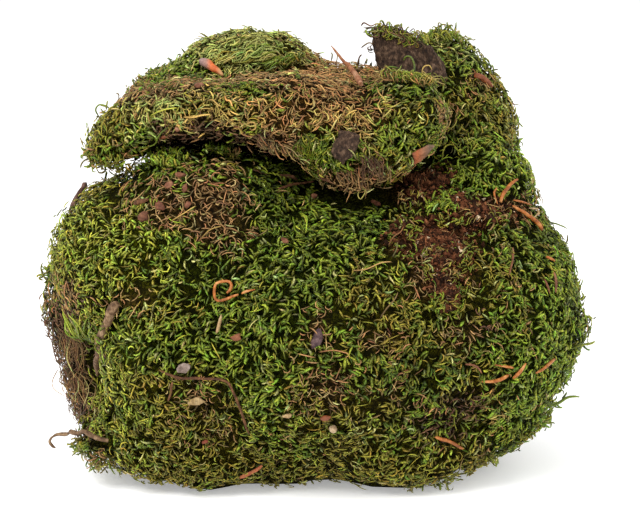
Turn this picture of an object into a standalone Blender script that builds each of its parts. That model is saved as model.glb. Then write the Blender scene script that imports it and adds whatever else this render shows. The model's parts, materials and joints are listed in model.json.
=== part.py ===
"""A clump of carpet moss with the litter it lifted: a rolled cushion and a torn mat folded over its top.

Metres, +Z up. The front faces -Y. The clump rests on the flat patch under the cushion, at z = 0, and
the origin is the middle of that patch. Tables of places and sizes are in millimetres.
"""

import math
import random

import bmesh
import bpy
from mathutils import Matrix, Vector, noise
from mathutils.bvhtree import BVHTree

MM = 0.001

# Driving sizes
GAP = 0.5 * MM              # air between two pieces that touch
MOSS_VOXEL = 6 * MM         # cell of the remesh that fuses the lobes
MOSS_EASE = 7               # passes that ease the grooves between lobes
CUSHION_FACES = 3200        # triangles left in the cushion
FLAP_FACES = 1900           # triangles left in the flap
UNEVEN = 2.2 * MM           # how far the moss surface swells and dips
UNEVEN_LENGTH = 26 * MM     # how far apart those swells are
STEP = 3.2 * MM             # spacing of the points along a needle or twig
THICK = 1.5                 # strands of this radius and more are round enough to need more sides
THIN_SIDES = 5
THICK_SIDES = 8
BLUNT_END = 0.6             # share of its radius that a strand keeps at each end
SETTLE_PASSES = 8           # times that a piece is pushed clear of what it lies on
FLAKE_CORNERS = 9
FLAKE_REACH = (0.68, 1.12)  # least and most of its radius that a corner of a flake reaches
# Share of the outline and share of the thickness at each level
FLAKE_LEVELS = ((0.86, 0.0), (1.0, 0.35), (0.92, 0.8), (0.55, 1.0))
SOIL_LUMP = 5 * MM          # size of the lumps in the soil
SOIL_UNEVEN = 1.1 * MM      # height of those lumps
SOIL_RAGGED = 0.45          # how far the outline of a patch runs in and out, as a share of its radius
SOIL_BAYS = 1.7             # how many times it does so along that radius

# Litter is placed as it is seen from the front: (across, up) on the plane through AIM that faces EYE
LOOK_DOWN = math.radians(10)
EYE_DISTANCE = 800 * MM
AIM = Vector((2.4, 0, 99.5)) * MM
RIGHT = Vector((1, 0, 0))
AHEAD = Vector((0, math.cos(LOOK_DOWN), -math.sin(LOOK_DOWN)))
UP = Vector((0, math.sin(LOOK_DOWN), math.cos(LOOK_DOWN)))
EYE = AIM - AHEAD * EYE_DISTANCE

# Lobes: what it is, centre x y z, radii x y z, lean about Y in degrees
CUSHION_LOBES = (
    ("middle", (0, 14, 74), (112, 88, 71), 0),
    ("belly", (4, -40, 70), (92, 56, 60), 0),
    ("left brow", (-50, -24, 108), (54, 46, 48), 0),
    ("right brow", (46, -18, 99), (48, 46, 42), 0),
    ("left wall", (-76, 10, 76), (57, 42, 60), 0),
    ("left shoulder", (-72, -12, 100), (54, 58, 45), 0),
    ("left front roll", (-61, -50, 60), (37, 39, 50), 0),
    ("lower left fold", (-84, -34, 24), (30, 32, 21), 0),
    ("lower left", (-76, 10, 36), (49, 42, 37), 0),
    ("right flank", (68, 0, 72), (62, 74, 62), 0),
    ("right front", (68, -34, 68), (48, 46, 50), 0),
    ("right roll", (62, 38, 153), (39, 46, 50), -10),
    ("roll knob", (62, 46, 192), (15, 20, 15), 0),
    ("roll foot", (77, 8, 128), (30, 40, 34), 0),
    ("lower right", (56, -8, 40), (61, 58, 42), 0),
    ("bottom left", (-49, -33, 24), (60, 42, 28), 0),
    ("bottom right", (37, -33, 24), (55, 42, 28), 0),
    ("back", (-4, 52, 78), (96, 50, 72), 0),
    ("back left", (-50, 40, 104), (46, 42, 42), 0),
    ("underside", (-3, 6, 20), (88, 74, 28), 0),
)
# Hollows taken out of the cushion, in the same terms
CUSHION_HOLLOWS = (
    ("beside the front roll", (-126, -54, 44), (27, 32, 35), 0),
)
FLAP_LOBES = (
    ("left tip", (-87, -18, 158), (20, 25, 15), -8),
    ("left tip corner", (-97, -20, 151), (11, 20, 9), 0),
    ("left rim", (-56, -26, 172), (38, 29, 15), -4),
    ("middle rim", (-14, -30, 171), (40, 30, 19), 4),
    ("droop", (20, -36, 154), (26, 26, 20), 0),
    ("right rim", (41, -22, 168), (21, 28, 22), -6),
    ("hill", (-32, 42, 170), (44, 46, 36), 0),
    ("hill left", (-61, 36, 166), (35, 40, 25), 0),
    ("hill right", (18, 14, 168), (36, 42, 22), 0),
    ("back skirt", (-26, 64, 146), (54, 30, 28), 0),
)

# Outline of the standing slab of bark, as seen from the front
SLAB_OUTLINE = (
    (25, 104), (26, 109), (32, 111), (40, 109), (48, 104), (55, 99), (59, 93), (61, 84), (58, 76),
    (46, 74), (36, 78), (31, 86), (28, 94),
)
SLAB_THICKNESS = 9 * MM
SLAB_DEPTH = -6 * MM        # how far behind the origin its front face stands
SLAB_LEAN = math.radians(12)
SLAB_LEVELS = ((0.94, 0), (1.0, 0.25), (1.0, 0.7), (0.9, 1.0))

# Soil: name, (across, up), radii along, across and out of the moss, turn in degrees
SOIL = (
    ("soil_main", (54.2, 5), (16, 11, 2.4), -10),
    ("soil_under_flap", (50.5, 36.5), (13.5, 6.5, 2.6), -10),
    ("soil_right", (76.4, 22), (15.6, 6, 2.2), -8),
    ("soil_low", (60.5, -17), (9.8, 6.8, 1.8), 80),
)

# Bark and leaf flakes: name, (across, up), length, width, thickness, turn and tip-up in degrees, stuff
FLAKES = (
    ("bark_chip", (12, 53), 17, 15, 3.0, 70, 8, "bark"),
    ("bark_flake_red", (48, 50), 13, 7, 2.2, 40, 10, "red_bark"),
    ("bark_strip", (-117.5, 29), 20, 5.5, 2.2, 58, 6, "dark_bark"),
    ("flake_rim", (-58, 81.5), 5.5, 4.0, 1.2, -50, 10, "red_bark"),
    ("flake_under_rim_a", (-68.2, 61), 2.6, 2.2, 1.2, 30, 6, "bud"),
    ("flake_under_rim_b", (-75.4, 57.2), 3.2, 2.0, 1.2, 60, 6, "bud"),
    ("flake_under_flap", (26.8, 25.2), 6.8, 2.2, 1.2, -63, 6, "red_bark"),
    ("flake_centre", (-2.6, 28.6), 3.4, 2.8, 1.2, 20, 6, "red_bark"),
    ("flake_brow_a", (-67, 38.5), 8, 3.2, 1.4, -28, 6, "red_bark"),
    ("flake_brow_b", (-72.5, 34), 5, 3.4, 1.2, 20, 6, "red_bark"),
    ("flake_brow_c", (-65, 32.5), 4.2, 3.2, 1.2, 70, 6, "red_bark"),
    ("flake_left_stick", (-85.5, 26), 9.5, 2.2, 1.4, 2, 4, "wood"),
    ("flake_left_a", (-77, 24), 5.5, 4.2, 1.6, -40, 8, "red_bark"),
    ("flake_left_b", (-63.5, 24.5), 4.6, 3.4, 1.4, 60, 8, "red_bark"),
    ("wood_chip", (-84.5, 18.5), 6.2, 4.6, 2.6, 10, 0, "wood"),
    ("flake_middle", (-16.5, 7.5), 7, 3.2, 1.4, -62, 8, "red_bark"),
    ("leaf_scrap", (-40.5, -38.8), 6.8, 3.2, 1.0, 12, 10, "bud"),
    ("stalk_scrap", (-48.7, -32.8), 8.4, 1.8, 1.2, 74, 6, "pale_leaf"),
    ("chip_grey", (-65.5, -54), 6, 5, 2.4, 20, 6, "grey_chip"),
    ("leaf_tan", (-59.5, -69.5), 7.5, 4.5, 1.0, 25, 8, "tan_leaf"),
    ("flake_orange", (2.5, -77.5), 5.5, 3.0, 1.2, 30, 8, "bud"),
    ("pebble_pale", (6, -82.5), 3.4, 3.0, 2.4, 0, 0, "pebble"),
    ("flake_low_red", (-55, -88.5), 3.6, 2.6, 1.2, 70, 8, "red_bark"),
    ("cone_scale", (-1.8, -38.8), 11, 4.4, 3.0, 76, 8, "cone"),
    ("leaf_low", (-15.5, -76.5), 4.4, 2.2, 1.0, 10, 8, "pale_leaf"),
)

# Needles and twigs: name, points (across, up, lift off the moss), radius at each end, stuff
STRANDS = (
    ("wood_splinter", ((20.4, 80.4, 0), (16.2, 85.4, 0), (11, 93.4, 0), (5.3, 101, 0)), 1.7, 0.4, "splinter"),
    ("bud_scale", ((-56.4, 93.2, 0.6), (-51.5, 89.8, 1.2), (-46.6, 86.3, 0.6)), 2.5, 1.0, "bud"),
    ("bud_scale_lobe", ((74.6, 86.8, 0.4), (78.5, 84.2, 0.8), (82.4, 81.4, 0.4)), 1.7, 0.9, "bud"),
    (
        "needle_curled",
        ((-44.2, -18.2, 1.2), (-42.5, -17, 1.4), (-41.7, -15.1, 1.6), (-42.7, -13.3, 1.6), (-45.6, -13, 1.4),
         (-49, -13.9, 1.2), (-50.3, -15.8, 1), (-50, -19.7, 0.8), (-48.7, -21.6, 0.6), (-45.1, -20.9, 0.4),
         (-41.8, -19.7, 0.4), (-38.9, -18.6, 0.4)),
        0.65, 0.6, "needle",
    ),
    ("needle_curled_tip", ((-37.4, -18.2, 0.4), (-34.6, -17.2, 0.6), (-31, -16.1, 0.4)), 0.65, 0.4, "needle"),
    (
        "needle_long",
        ((92.2, 24, 0.4), (96.6, 20, 1.2), (101.4, 15.6, 1.6), (106, 11, 1)),
        0.65, 1.15, "needle",
    ),
    (
        "needle_upright",
        ((86.4, 25.6, 0.6), (87.3, 30, 1.4), (89.4, 33.8, 2), (93, 36.6, 2)),
        1.0, 0.7, "needle",
    ),
    (
        "needle_thin",
        ((84.5, 32.4, 0.8), (83, 30.2, 1.2), (83.6, 27.4, 1), (85, 24.4, 0.4)),
        0.5, 0.5, "needle",
    ),
    ("needle_side", ((92.4, 26.6, 0.6), (96.4, 25.4, 1), (100.8, 24.2, 0.6)), 0.5, 0.4, "needle"),
    (
        "leaf_curled",
        ((100.4, 23.4, 0.4), (103.3, 22.9, 1), (104.2, 20.2, 1), (102.6, 17.8, 0.4)),
        0.6, 0.45, "tan_leaf",
    ),
    ("needle_brown", ((92.6, 3.8, 0), (91.9, -3, 0.6), (90.7, -9.2, 0)), 0.5, 0.45, "brown_needle"),
    ("needle_short", ((108.4, -0.8, 0.3), (112.6, -2.6, 0.3)), 0.75, 0.5, "needle"),
    ("needle_cluster_a", ((77.6, -60.2, 0), (84, -59.4, 0.8), (90, -56.8, 0.6)), 0.55, 0.95, "needle"),
    ("needle_cluster_b", ((92.6, -58.6, 0.2), (95.4, -55, 0.8), (98.4, -51.4, 0.2)), 1.0, 0.55, "needle"),
    ("needle_cluster_c", ((84, -52.2, 0.3), (90, -52.8, 0.8), (92.6, -53.6, 0.3)), 0.45, 0.6, "needle"),
    ("needle_low_right", ((103.4, -56, 0.2), (106.6, -52.4, 0.8), (111.6, -49.4, 0.6)), 0.6, 0.9, "needle"),
    ("needle_right_a", ((107.6, -11.4, 0), (108.6, -14.8, 0.5), (110, -18, 0)), 0.5, 0.4, "brown_needle"),
    ("needle_right_b", ((112, -8, 0), (112.6, -12.8, 0.6), (112.8, -17.6, 0)), 0.7, 0.5, "brown_needle"),
    ("needle_bent", ((69.6, -51.8, 0), (74.8, -52.6, 0.8), (77.6, -56.2, 0)), 0.5, 0.45, "brown_needle"),
    ("needle_bottom", ((55.2, -86.2, 0.2), (62, -88.6, 0.8), (68.4, -92.4, 0.2)), 0.85, 0.7, "needle"),
    ("twig_low", ((-38.4, -106.4, 0), (-33, -103.6, 0.8), (-27.8, -100.8, 0)), 0.9, 0.7, "twig"),
    (
        "twig_forked",
        ((-75.8, -55.6, 0.2), (-68.2, -58.6, 0.8), (-57.6, -59, 0.8), (-45.6, -60, 0.6), (-40.3, -66.6, 0.6),
         (-37, -75, 0.6), (-33.6, -85.4, 0)),
        0.55, 0.6, "twig",
    ),
    ("twig_branch", ((-70.8, -60.6, 0.4), (-71.5, -64.5, 0.8), (-73, -69.6, 0)), 0.6, 0.45, "twig"),
    (
        "stem_hooked",
        ((-101, -88, 0), (-108, -86, 0.5), (-115, -85, 1), (-122, -85, 2), (-127.6, -86.2, 3),
         (-129.6, -89.4, 2.5), (-127, -92, 2)),
        1.1, 0.6, "pale_stem",
    ),
    (
        "stem_left",
        ((-99.4, -23.4, 0.3), (-102.7, -31, 0.6), (-105.6, -40, 0.6), (-107.6, -48, 0.6), (-109, -58, 0.3)),
        2.4, 1.4, "pale_stem",
    ),
    (
        "stick_gap",
        ((-19.7, 32.6, 0.2), (-13.4, 34.2, 0.8), (-8.2, 34.4, 0.8), (-2, 36, 0.2)),
        0.6, 0.5, "wood",
    ),
    ("scrap_gap_a", ((-18.7, 38.6, 0.4), (-14.2, 37.6, 0.8), (-10.1, 36.4, 0.4)), 0.9, 0.6, "wood"),
    ("scrap_gap_b", ((-0.6, 38.4, 0.4), (3, 36.4, 0.6), (6.7, 34.4, 0.4)), 0.9, 0.6, "wood"),
)

# Stuff: colour, roughness
STUFF = {
    "moss": ((0.085, 0.13, 0.028), 0.8),
    "moss_dry": ((0.16, 0.13, 0.045), 0.85),
    "bark": ((0.075, 0.058, 0.045), 0.9),
    "dark_bark": ((0.045, 0.026, 0.018), 0.9),
    "red_bark": ((0.2, 0.075, 0.04), 0.8),
    "bud": ((0.45, 0.17, 0.06), 0.6),
    "wood": ((0.2, 0.12, 0.06), 0.8),
    "splinter": ((0.42, 0.2, 0.1), 0.7),
    "needle": ((0.42, 0.15, 0.045), 0.5),
    "brown_needle": ((0.16, 0.075, 0.035), 0.6),
    "twig": ((0.17, 0.08, 0.04), 0.8),
    "pale_stem": ((0.26, 0.18, 0.09), 0.85),
    "pale_leaf": ((0.42, 0.32, 0.17), 0.7),
    "tan_leaf": ((0.34, 0.24, 0.12), 0.7),
    "grey_chip": ((0.25, 0.22, 0.19), 0.8),
    "pebble": ((0.5, 0.44, 0.34), 0.6),
    "cone": ((0.07, 0.035, 0.045), 0.7),
    "soil": ((0.1, 0.045, 0.028), 0.95),
}


def clear_scene():
    for item in list(bpy.data.objects):
        bpy.data.objects.remove(item, do_unlink=True)


def material(stuff):
    """One plain finish for each kind of stuff, shared by its pieces."""
    found = bpy.data.materials.get(stuff)
    if found:
        return found
    colour, roughness = STUFF[stuff]
    made = bpy.data.materials.new(stuff)
    made.use_nodes = True
    shader = made.node_tree.nodes["Principled BSDF"]
    shader.inputs["Base Color"].default_value = (*colour, 1)
    shader.inputs["Roughness"].default_value = roughness
    made.diffuse_color = (*colour, 1)
    return made


def put(name, shape, stuff):
    """A bmesh made an object of that name and stuff, shaded smooth."""
    bmesh.ops.recalc_face_normals(shape, faces=shape.faces)
    mesh = bpy.data.meshes.new(name)
    shape.to_mesh(mesh)
    shape.free()
    mesh.shade_smooth()
    item = bpy.data.objects.new(name, mesh)
    mesh.materials.append(material(stuff))
    bpy.context.collection.objects.link(item)
    return item


def apply_modifiers(item):
    """The mesh as the modifiers leave it takes the place of the mesh and the modifiers."""
    graph = bpy.context.evaluated_depsgraph_get()
    mesh = bpy.data.meshes.new_from_object(item.evaluated_get(graph))
    item.modifiers.clear()
    item.data = mesh


def surface(item):
    return BVHTree.FromObject(item, bpy.context.evaluated_depsgraph_get())


def keep_largest(item):
    """Deletes the crumbs that a cut leaves loose."""
    shape = bmesh.new()
    shape.from_mesh(item.data)
    unseen = set(shape.verts)
    pieces = []
    while unseen:
        front = [unseen.pop()]
        piece = list(front)
        while front:
            near = {edge.other_vert(vert) for vert in front for edge in vert.link_edges}
            front = list(near & unseen)
            unseen -= near
            piece += front
        pieces.append(piece)
    pieces.sort(key=len)
    for piece in pieces[:-1]:
        bmesh.ops.delete(shape, geom=piece, context="VERTS")
    shape.to_mesh(item.data)
    shape.free()


def ellipsoids(lobes):
    """A bmesh of separate ellipsoids."""
    shape = bmesh.new()
    for _, centre, radii, lean in lobes:
        place = (
            Matrix.Translation(Vector(centre) * MM)
            @ Matrix.Rotation(math.radians(lean), 4, "Y")
            @ Matrix.Diagonal((*(Vector(radii) * MM), 1))
        )
        bmesh.ops.create_icosphere(shape, subdivisions=5, radius=1, matrix=place)
    return shape


def cut_away(item, cutter):
    """Takes the cutter out of the item, and deletes the cutter."""
    cut = item.modifiers.new("cut", "BOOLEAN")
    cut.operation = "DIFFERENCE"
    cut.object = cutter
    apply_modifiers(item)
    bpy.data.objects.remove(cutter)


def lump(name, lobes, hollows, faces, stuff, seed):
    """Ellipsoid lobes fused by a voxel remesh, hollowed, eased, made uneven by smooth noise, then thinned."""
    item = put(name, ellipsoids(lobes), stuff)
    fuse = item.modifiers.new("fuse", "REMESH")
    fuse.mode = "VOXEL"
    fuse.voxel_size = MOSS_VOXEL
    if hollows:
        apply_modifiers(item)
        cut_away(item, put("hollow", ellipsoids(hollows), stuff))
    ease = item.modifiers.new("ease", "SMOOTH")
    ease.factor = 0.5
    ease.iterations = MOSS_EASE
    apply_modifiers(item)
    shift = Vector((seed, 0, 0))
    for vert in item.data.vertices:
        swell = noise.noise(vert.co / UNEVEN_LENGTH + shift)
        swell += 0.5 * noise.noise(vert.co * 2.3 / UNEVEN_LENGTH - shift)
        vert.co += vert.normal * swell * UNEVEN
    thin = item.modifiers.new("thin", "DECIMATE")
    thin.ratio = faces / (2 * len(item.data.polygons))
    apply_modifiers(item)
    return item


def cut_flat(item):
    """Cuts the item off at z = 0 and closes the cut with one flat face."""
    shape = bmesh.new()
    shape.from_mesh(item.data)
    cut = bmesh.ops.bisect_plane(
        shape,
        geom=list(shape.verts) + list(shape.edges) + list(shape.faces),
        plane_co=(0, 0, 0),
        plane_no=(0, 0, -1),
        clear_outer=True,
    )
    rim = [part for part in cut["geom_cut"] if isinstance(part, bmesh.types.BMEdge)]
    bmesh.ops.holes_fill(shape, edges=rim, sides=0)
    bmesh.ops.recalc_face_normals(shape, faces=shape.faces)
    shape.to_mesh(item.data)
    shape.free()


def carve(item, neighbours):
    """Cuts from the item each neighbour grown by the gap, so that the item nests on it."""
    for neighbour in neighbours:
        grown = neighbour.data.copy()
        for vert in grown.vertices:
            vert.co += vert.normal * GAP
        cutter = bpy.data.objects.new("cutter", grown)
        bpy.context.collection.objects.link(cutter)
        cut_away(item, cutter)
        keep_largest(item)


def line_of_sight(across, up):
    """Direction from the eye to (across, up) on the plane through the aim."""
    return (AIM + (RIGHT * across + UP * up) * MM - EYE).normalized()


def sight(across, up, surfaces):
    """Point and normal where the eye meets a surface at (across, up), or the nearest, and which it was."""
    ray = line_of_sight(across, up)
    hits = [tree.ray_cast(EYE, ray) for tree in surfaces]
    hits = [hit for hit in hits if hit[0]]
    met = bool(hits)
    if not met:
        aim = AIM + (RIGHT * across + UP * up) * MM
        hits = [tree.find_nearest(aim) for tree in surfaces]
    place, normal = min(hits, key=lambda hit: hit[3])[:2]
    return place, normal, met


def clearance(point, surfaces):
    """Signed distance to the nearest surface, positive outside, and the way out."""
    place, normal, _, _ = min((tree.find_nearest(point) for tree in surfaces), key=lambda near: near[3])
    return (point - place).dot(normal), normal


def flat_frame(normal, turn):
    """Unit vectors along and beside a piece that lies square to the normal, turned in the front view."""
    along = RIGHT * math.cos(math.radians(turn)) + UP * math.sin(math.radians(turn))
    along = (along - normal * along.dot(normal)).normalized()
    return along, normal.cross(along)


def skin(shape, rings):
    """Quads between rings of as many corners, and a face over each end."""
    corners = len(rings[0])
    for near, far in zip(rings, rings[1:]):
        for corner in range(corners):
            after = (corner + 1) % corners
            shape.faces.new((near[corner], near[after], far[after], far[corner]))
    return [shape.faces.new(reversed(rings[0])), shape.faces.new(rings[-1])]


def smooth_path(points, count):
    """Catmull-Rom curve through the points, read at evenly spaced parameters."""
    ends = [points[0] * 2 - points[1], *points, points[-1] * 2 - points[-2]]
    path = []
    for index in range(count):
        place = index / (count - 1) * (len(points) - 1)
        start = min(int(place), len(points) - 2)
        t = place - start
        a, b, c, d = ends[start:start + 4]
        path.append(
            0.5 * (2 * b + (c - a) * t + (2 * a - 5 * b + 4 * c - d) * t**2 + (3 * b - a - 3 * c + d) * t**3)
        )
    return path


def tube(path, radii, sides):
    """A closed tube along the path, each ring square to it."""
    shape = bmesh.new()
    rings = []
    side = None
    for index, centre in enumerate(path):
        ahead = path[min(index + 1, len(path) - 1)] - path[max(index - 1, 0)]
        ahead.normalize()
        side = (side or ahead.orthogonal()).cross(ahead).cross(ahead).normalized() * -1
        other = ahead.cross(side)
        turns = [math.tau * corner / sides for corner in range(sides)]
        rings.append([
            shape.verts.new(centre + (side * math.cos(turn) + other * math.sin(turn)) * radii[index])
            for turn in turns
        ])
    skin(shape, rings)
    return shape


def settled(path, radii, surfaces):
    """The path with its depth evened out, and each point and each stretch pushed clear of the surfaces."""
    for _ in range(SETTLE_PASSES):
        inner = [b + AHEAD * (a - 2 * b + c).dot(AHEAD) / 4 for a, b, c in zip(path, path[1:], path[2:])]
        path = [path[0], *inner, path[-1]]
        for index in range(len(path) - 1):
            for share in (0, 0.5, 1):
                radius = max(radii[index:index + 2])
                room, out = clearance(path[index].lerp(path[index + 1], share), surfaces)
                push = out * max(0, radius + GAP - room)
                if share < 1:
                    path[index] = path[index] + push
                if share > 0:
                    path[index + 1] = path[index + 1] + push
    return path


def strand(name, points, start_radius, end_radius, stuff, surfaces):
    """A needle, twig or stem that follows the moss, lifted off it as its points say."""
    points = [Vector(point) for point in points]
    length = sum((b - a).xy.length for a, b in zip(points, points[1:])) * MM
    count = max(4, len(points), round(length / STEP) + 1)
    taper = (end_radius - start_radius) / (count - 1)
    radii = [(start_radius + taper * index) * MM for index in range(count)]
    radii[0] *= BLUNT_END
    radii[-1] *= BLUNT_END
    path = []
    depth = None
    for (across, up, lift), radius in zip(smooth_path(points, count), radii):
        place, normal, met = sight(across, up, surfaces)
        if met:
            path.append(place + normal * (radius + GAP + lift * MM))
            depth = path[-1].y
            continue
        # Past the edge of the moss the strand goes on level with its last point
        if depth is None:
            depth = place.y
        ray = line_of_sight(across, up)
        path.append(EYE + ray * ((depth - EYE.y) / ray.y))
    path = settled(path, radii, surfaces)
    return put(name, tube(path, radii, THIN_SIDES if start_radius < THICK else THICK_SIDES), stuff)


def flake(name, place, length, width, thickness, turn, tip_up, stuff, surfaces, draw):
    """A chip with an irregular rounded outline, thinner at its rim, lying on the moss."""
    centre, normal, _ = sight(*place, surfaces)
    along, beside = flat_frame(normal, turn)
    tilt = Matrix.Rotation(-math.radians(tip_up), 3, beside)
    along = tilt @ along
    out = tilt @ normal
    outline = []
    for corner in range(FLAKE_CORNERS):
        angle = math.tau * corner / FLAKE_CORNERS
        reach = draw.uniform(*FLAKE_REACH) * MM / 2
        outline.append(along * math.cos(angle) * length * reach + beside * math.sin(angle) * width * reach)
    shape = bmesh.new()
    rings = [
        [shape.verts.new(centre + point * share + out * height * thickness * MM) for point in outline]
        for share, height in FLAKE_LEVELS
    ]
    skin(shape, rings)
    for _ in range(SETTLE_PASSES):
        probes = [vert.co for vert in shape.verts] + [(vert.co + centre) / 2 for vert in rings[0]]
        room = min(clearance(point, surfaces)[0] for point in probes)
        if room < GAP:
            bmesh.ops.translate(shape, verts=shape.verts, vec=normal * (GAP - room + 0.1 * MM))
    return put(name, shape, stuff)


def soil(name, place, radii, turn, surfaces, neighbours, draw):
    """A crumbly patch: a low mound that follows the moss under it, cut to lie on it."""
    centre, normal, _ = sight(*place, surfaces)
    along, beside = flat_frame(normal, turn)
    basis = Matrix((along, beside, normal)).transposed().to_4x4()
    place = Matrix.Translation(centre) @ basis @ Matrix.Diagonal((*(Vector(radii) * MM), 1))
    shape = bmesh.new()
    bmesh.ops.create_icosphere(shape, subdivisions=3, radius=1)
    shift = Vector((draw.uniform(0, 9), draw.uniform(0, 9), 0))
    for vert in shape.verts:
        level = vert.co.xy.to_3d()
        vert.co += level * SOIL_RAGGED * noise.noise(level * SOIL_BAYS + shift)
    bmesh.ops.transform(shape, matrix=place, verts=shape.verts)
    for vert in shape.verts:
        bump = noise.noise(vert.co / SOIL_LUMP + shift)
        vert.co += (vert.co - centre).normalized() * bump * SOIL_UNEVEN
        height = (vert.co - centre).dot(normal)
        room, out = clearance(vert.co - normal * height, surfaces)
        if room > 0:
            vert.co -= out * room
    item = put(name, shape, "soil")
    carve(item, neighbours)
    return item


def slab(neighbours):
    """The plate of bark standing at the top right: its outline, thinner at the rims of both faces."""
    ahead = Matrix.Rotation(-SLAB_LEAN, 3, "X") @ Vector((0, 1, 0))
    outline = [Vector(point) for point in SLAB_OUTLINE]
    middle = sum(outline, Vector((0, 0))) / len(outline)
    shape = bmesh.new()
    rings = []
    for share, depth in SLAB_LEVELS:
        ring = []
        for point in outline:
            ray = line_of_sight(*(middle + (point - middle) * share))
            front = EYE + ray * ((SLAB_DEPTH - EYE.y) / ray.dot(ahead))
            ring.append(shape.verts.new(front + ahead * depth * SLAB_THICKNESS))
        rings.append(ring)
    bmesh.ops.triangulate(shape, faces=skin(shape, rings))
    item = put("bark_slab", shape, "bark")
    carve(item, neighbours)
    return item


def surfaces_now():
    return [surface(item) for item in bpy.data.objects]


def main():
    clear_scene()
    draw = random.Random(7)
    cushion = lump("moss_cushion", CUSHION_LOBES, CUSHION_HOLLOWS, CUSHION_FACES, "moss", 0)
    cut_flat(cushion)
    flap = lump("moss_flap", FLAP_LOBES, (), FLAP_FACES, "moss_dry", 5)
    carve(flap, [cushion])
    moss = [cushion, flap]
    ground = surfaces_now()
    slab(moss)
    for name, place, radii, turn in SOIL:
        soil(name, place, radii, turn, ground, moss, draw)
    ground = surfaces_now()
    for name, place, length, width, thickness, turn, tip_up, stuff in FLAKES:
        flake(name, place, length, width, thickness, turn, tip_up, stuff, ground, draw)
    ground = surfaces_now()
    for name, points, start_radius, end_radius, stuff in STRANDS:
        strand(name, points, start_radius, end_radius, stuff, ground)
    faces = [face for item in bpy.data.objects for face in item.data.polygons]
    print("triangles", sum(len(face.vertices) - 2 for face in faces))


main()
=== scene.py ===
# %% [markdown]
# # A clump of carpet moss
# A mat of moss was lifted from the forest floor with the litter that had fallen on it. It rolled itself into a
# rounded cushion, and a second, drier mat lies folded over its top. The solids of the frame have that form. This
# script grows the moss on them: shoots, fronds and dead stems, one small closed tube each, and gives the bark,
# soil, needles and scraps their finish. Metres, +Z up, and the camera looks along +Y.

# %% Load the frame
import json
import math
import bpy
import numpy as np
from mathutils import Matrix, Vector
from mathutils.bvhtree import BVHTree


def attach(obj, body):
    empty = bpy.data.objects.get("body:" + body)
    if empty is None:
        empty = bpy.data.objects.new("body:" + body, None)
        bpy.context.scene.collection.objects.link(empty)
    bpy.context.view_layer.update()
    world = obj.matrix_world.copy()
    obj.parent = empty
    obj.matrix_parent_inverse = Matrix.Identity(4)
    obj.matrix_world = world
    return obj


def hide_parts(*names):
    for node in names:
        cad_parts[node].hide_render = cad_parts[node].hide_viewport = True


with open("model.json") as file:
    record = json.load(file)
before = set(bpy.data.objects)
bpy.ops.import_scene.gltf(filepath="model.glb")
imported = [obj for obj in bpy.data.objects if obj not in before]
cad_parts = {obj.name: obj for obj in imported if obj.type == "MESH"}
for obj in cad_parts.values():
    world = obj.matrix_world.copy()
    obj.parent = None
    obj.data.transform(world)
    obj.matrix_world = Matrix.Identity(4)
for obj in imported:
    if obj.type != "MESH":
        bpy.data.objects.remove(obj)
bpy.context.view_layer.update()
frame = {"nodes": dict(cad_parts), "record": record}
NODES = frame["nodes"]
MM = 0.001

# %% [markdown]
# ## The eye
# The photograph was taken with a long lens from a little above. Every place that is read off it is a pixel of its
# 640 by 512 frame, so the camera comes first, and with it the sum that turns a place in space into a pixel. The
# moss is coloured and dressed by that sum, the way a map is laid over a hill.

# %% Place the camera
PIXEL = 0.48 * MM
EYE_DISTANCE = 800 * MM
LOOK_DOWN = math.radians(10)
AIM = np.array((2.4, 0.0, 99.5)) * MM
AHEAD = np.array((0.0, math.cos(LOOK_DOWN), -math.sin(LOOK_DOWN)))
UP = np.array((0.0, math.sin(LOOK_DOWN), math.cos(LOOK_DOWN)))
EYE = AIM - AHEAD * EYE_DISTANCE
MIDDLE = np.array((320.0, 256.0))
SENSOR = 36.0

camera = bpy.data.objects.new("camera", bpy.data.cameras.new("camera"))
bpy.context.scene.collection.objects.link(camera)
camera.data.sensor_width = SENSOR
camera.data.lens = SENSOR * EYE_DISTANCE / (2 * MIDDLE[0] * PIXEL)
camera.data.clip_start, camera.data.clip_end = 0.01, 50
camera.location = EYE
camera.rotation_euler = Vector(AHEAD).to_track_quat("-Z", "Y").to_euler()
bpy.context.scene.camera = camera


def seen_at(points):
    """The pixels at which points are seen: the offset from the eye across and up, over the depth along the view."""
    away = points - EYE
    scale = EYE_DISTANCE / PIXEL / (away @ AHEAD)
    return np.stack((MIDDLE[0] + away[:, 0] * scale, MIDDLE[1] - (away @ UP) * scale), 1)


print("lens in mm", round(camera.data.lens, 2))

# %% [markdown]
# ## The studio
# The object stands alone on white in even, soft light that comes mostly from above and the left. A white floor, a
# white world and two wide lamps do that. The floor glows a little, as a light table does, and runs on to the
# horizon, so neither a hard shadow nor an edge of it shows.

# %% Set up floor and light
FLOOR_HALF = 6.0
FLOOR_GLOW = 0.32
WORLD_LIGHT = 1.06
LAMPS = (("key", (-0.45, -0.65, 0.85), 0.5, 9.0), ("side", (0.75, -0.3, 0.5), 0.6, 1.5))

floor_mesh = bpy.data.meshes.new("floor")
corners = [(x * FLOOR_HALF, y * FLOOR_HALF, 0) for x, y in ((-1, -1), (1, -1), (1, 1), (-1, 1))]
floor_mesh.from_pydata(corners, [], [(0, 1, 2, 3)])
floor = bpy.data.objects.new("floor", floor_mesh)
bpy.context.scene.collection.objects.link(floor)
white = bpy.data.materials.new("white_floor")
white.use_nodes = True
white.node_tree.nodes["Principled BSDF"].inputs["Base Color"].default_value = (0.96, 0.96, 0.96, 1)
white.node_tree.nodes["Principled BSDF"].inputs["Roughness"].default_value = 0.9
white.node_tree.nodes["Principled BSDF"].inputs["Emission Color"].default_value = (1, 1, 1, 1)
white.node_tree.nodes["Principled BSDF"].inputs["Emission Strength"].default_value = FLOOR_GLOW
floor_mesh.materials.append(white)

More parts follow.
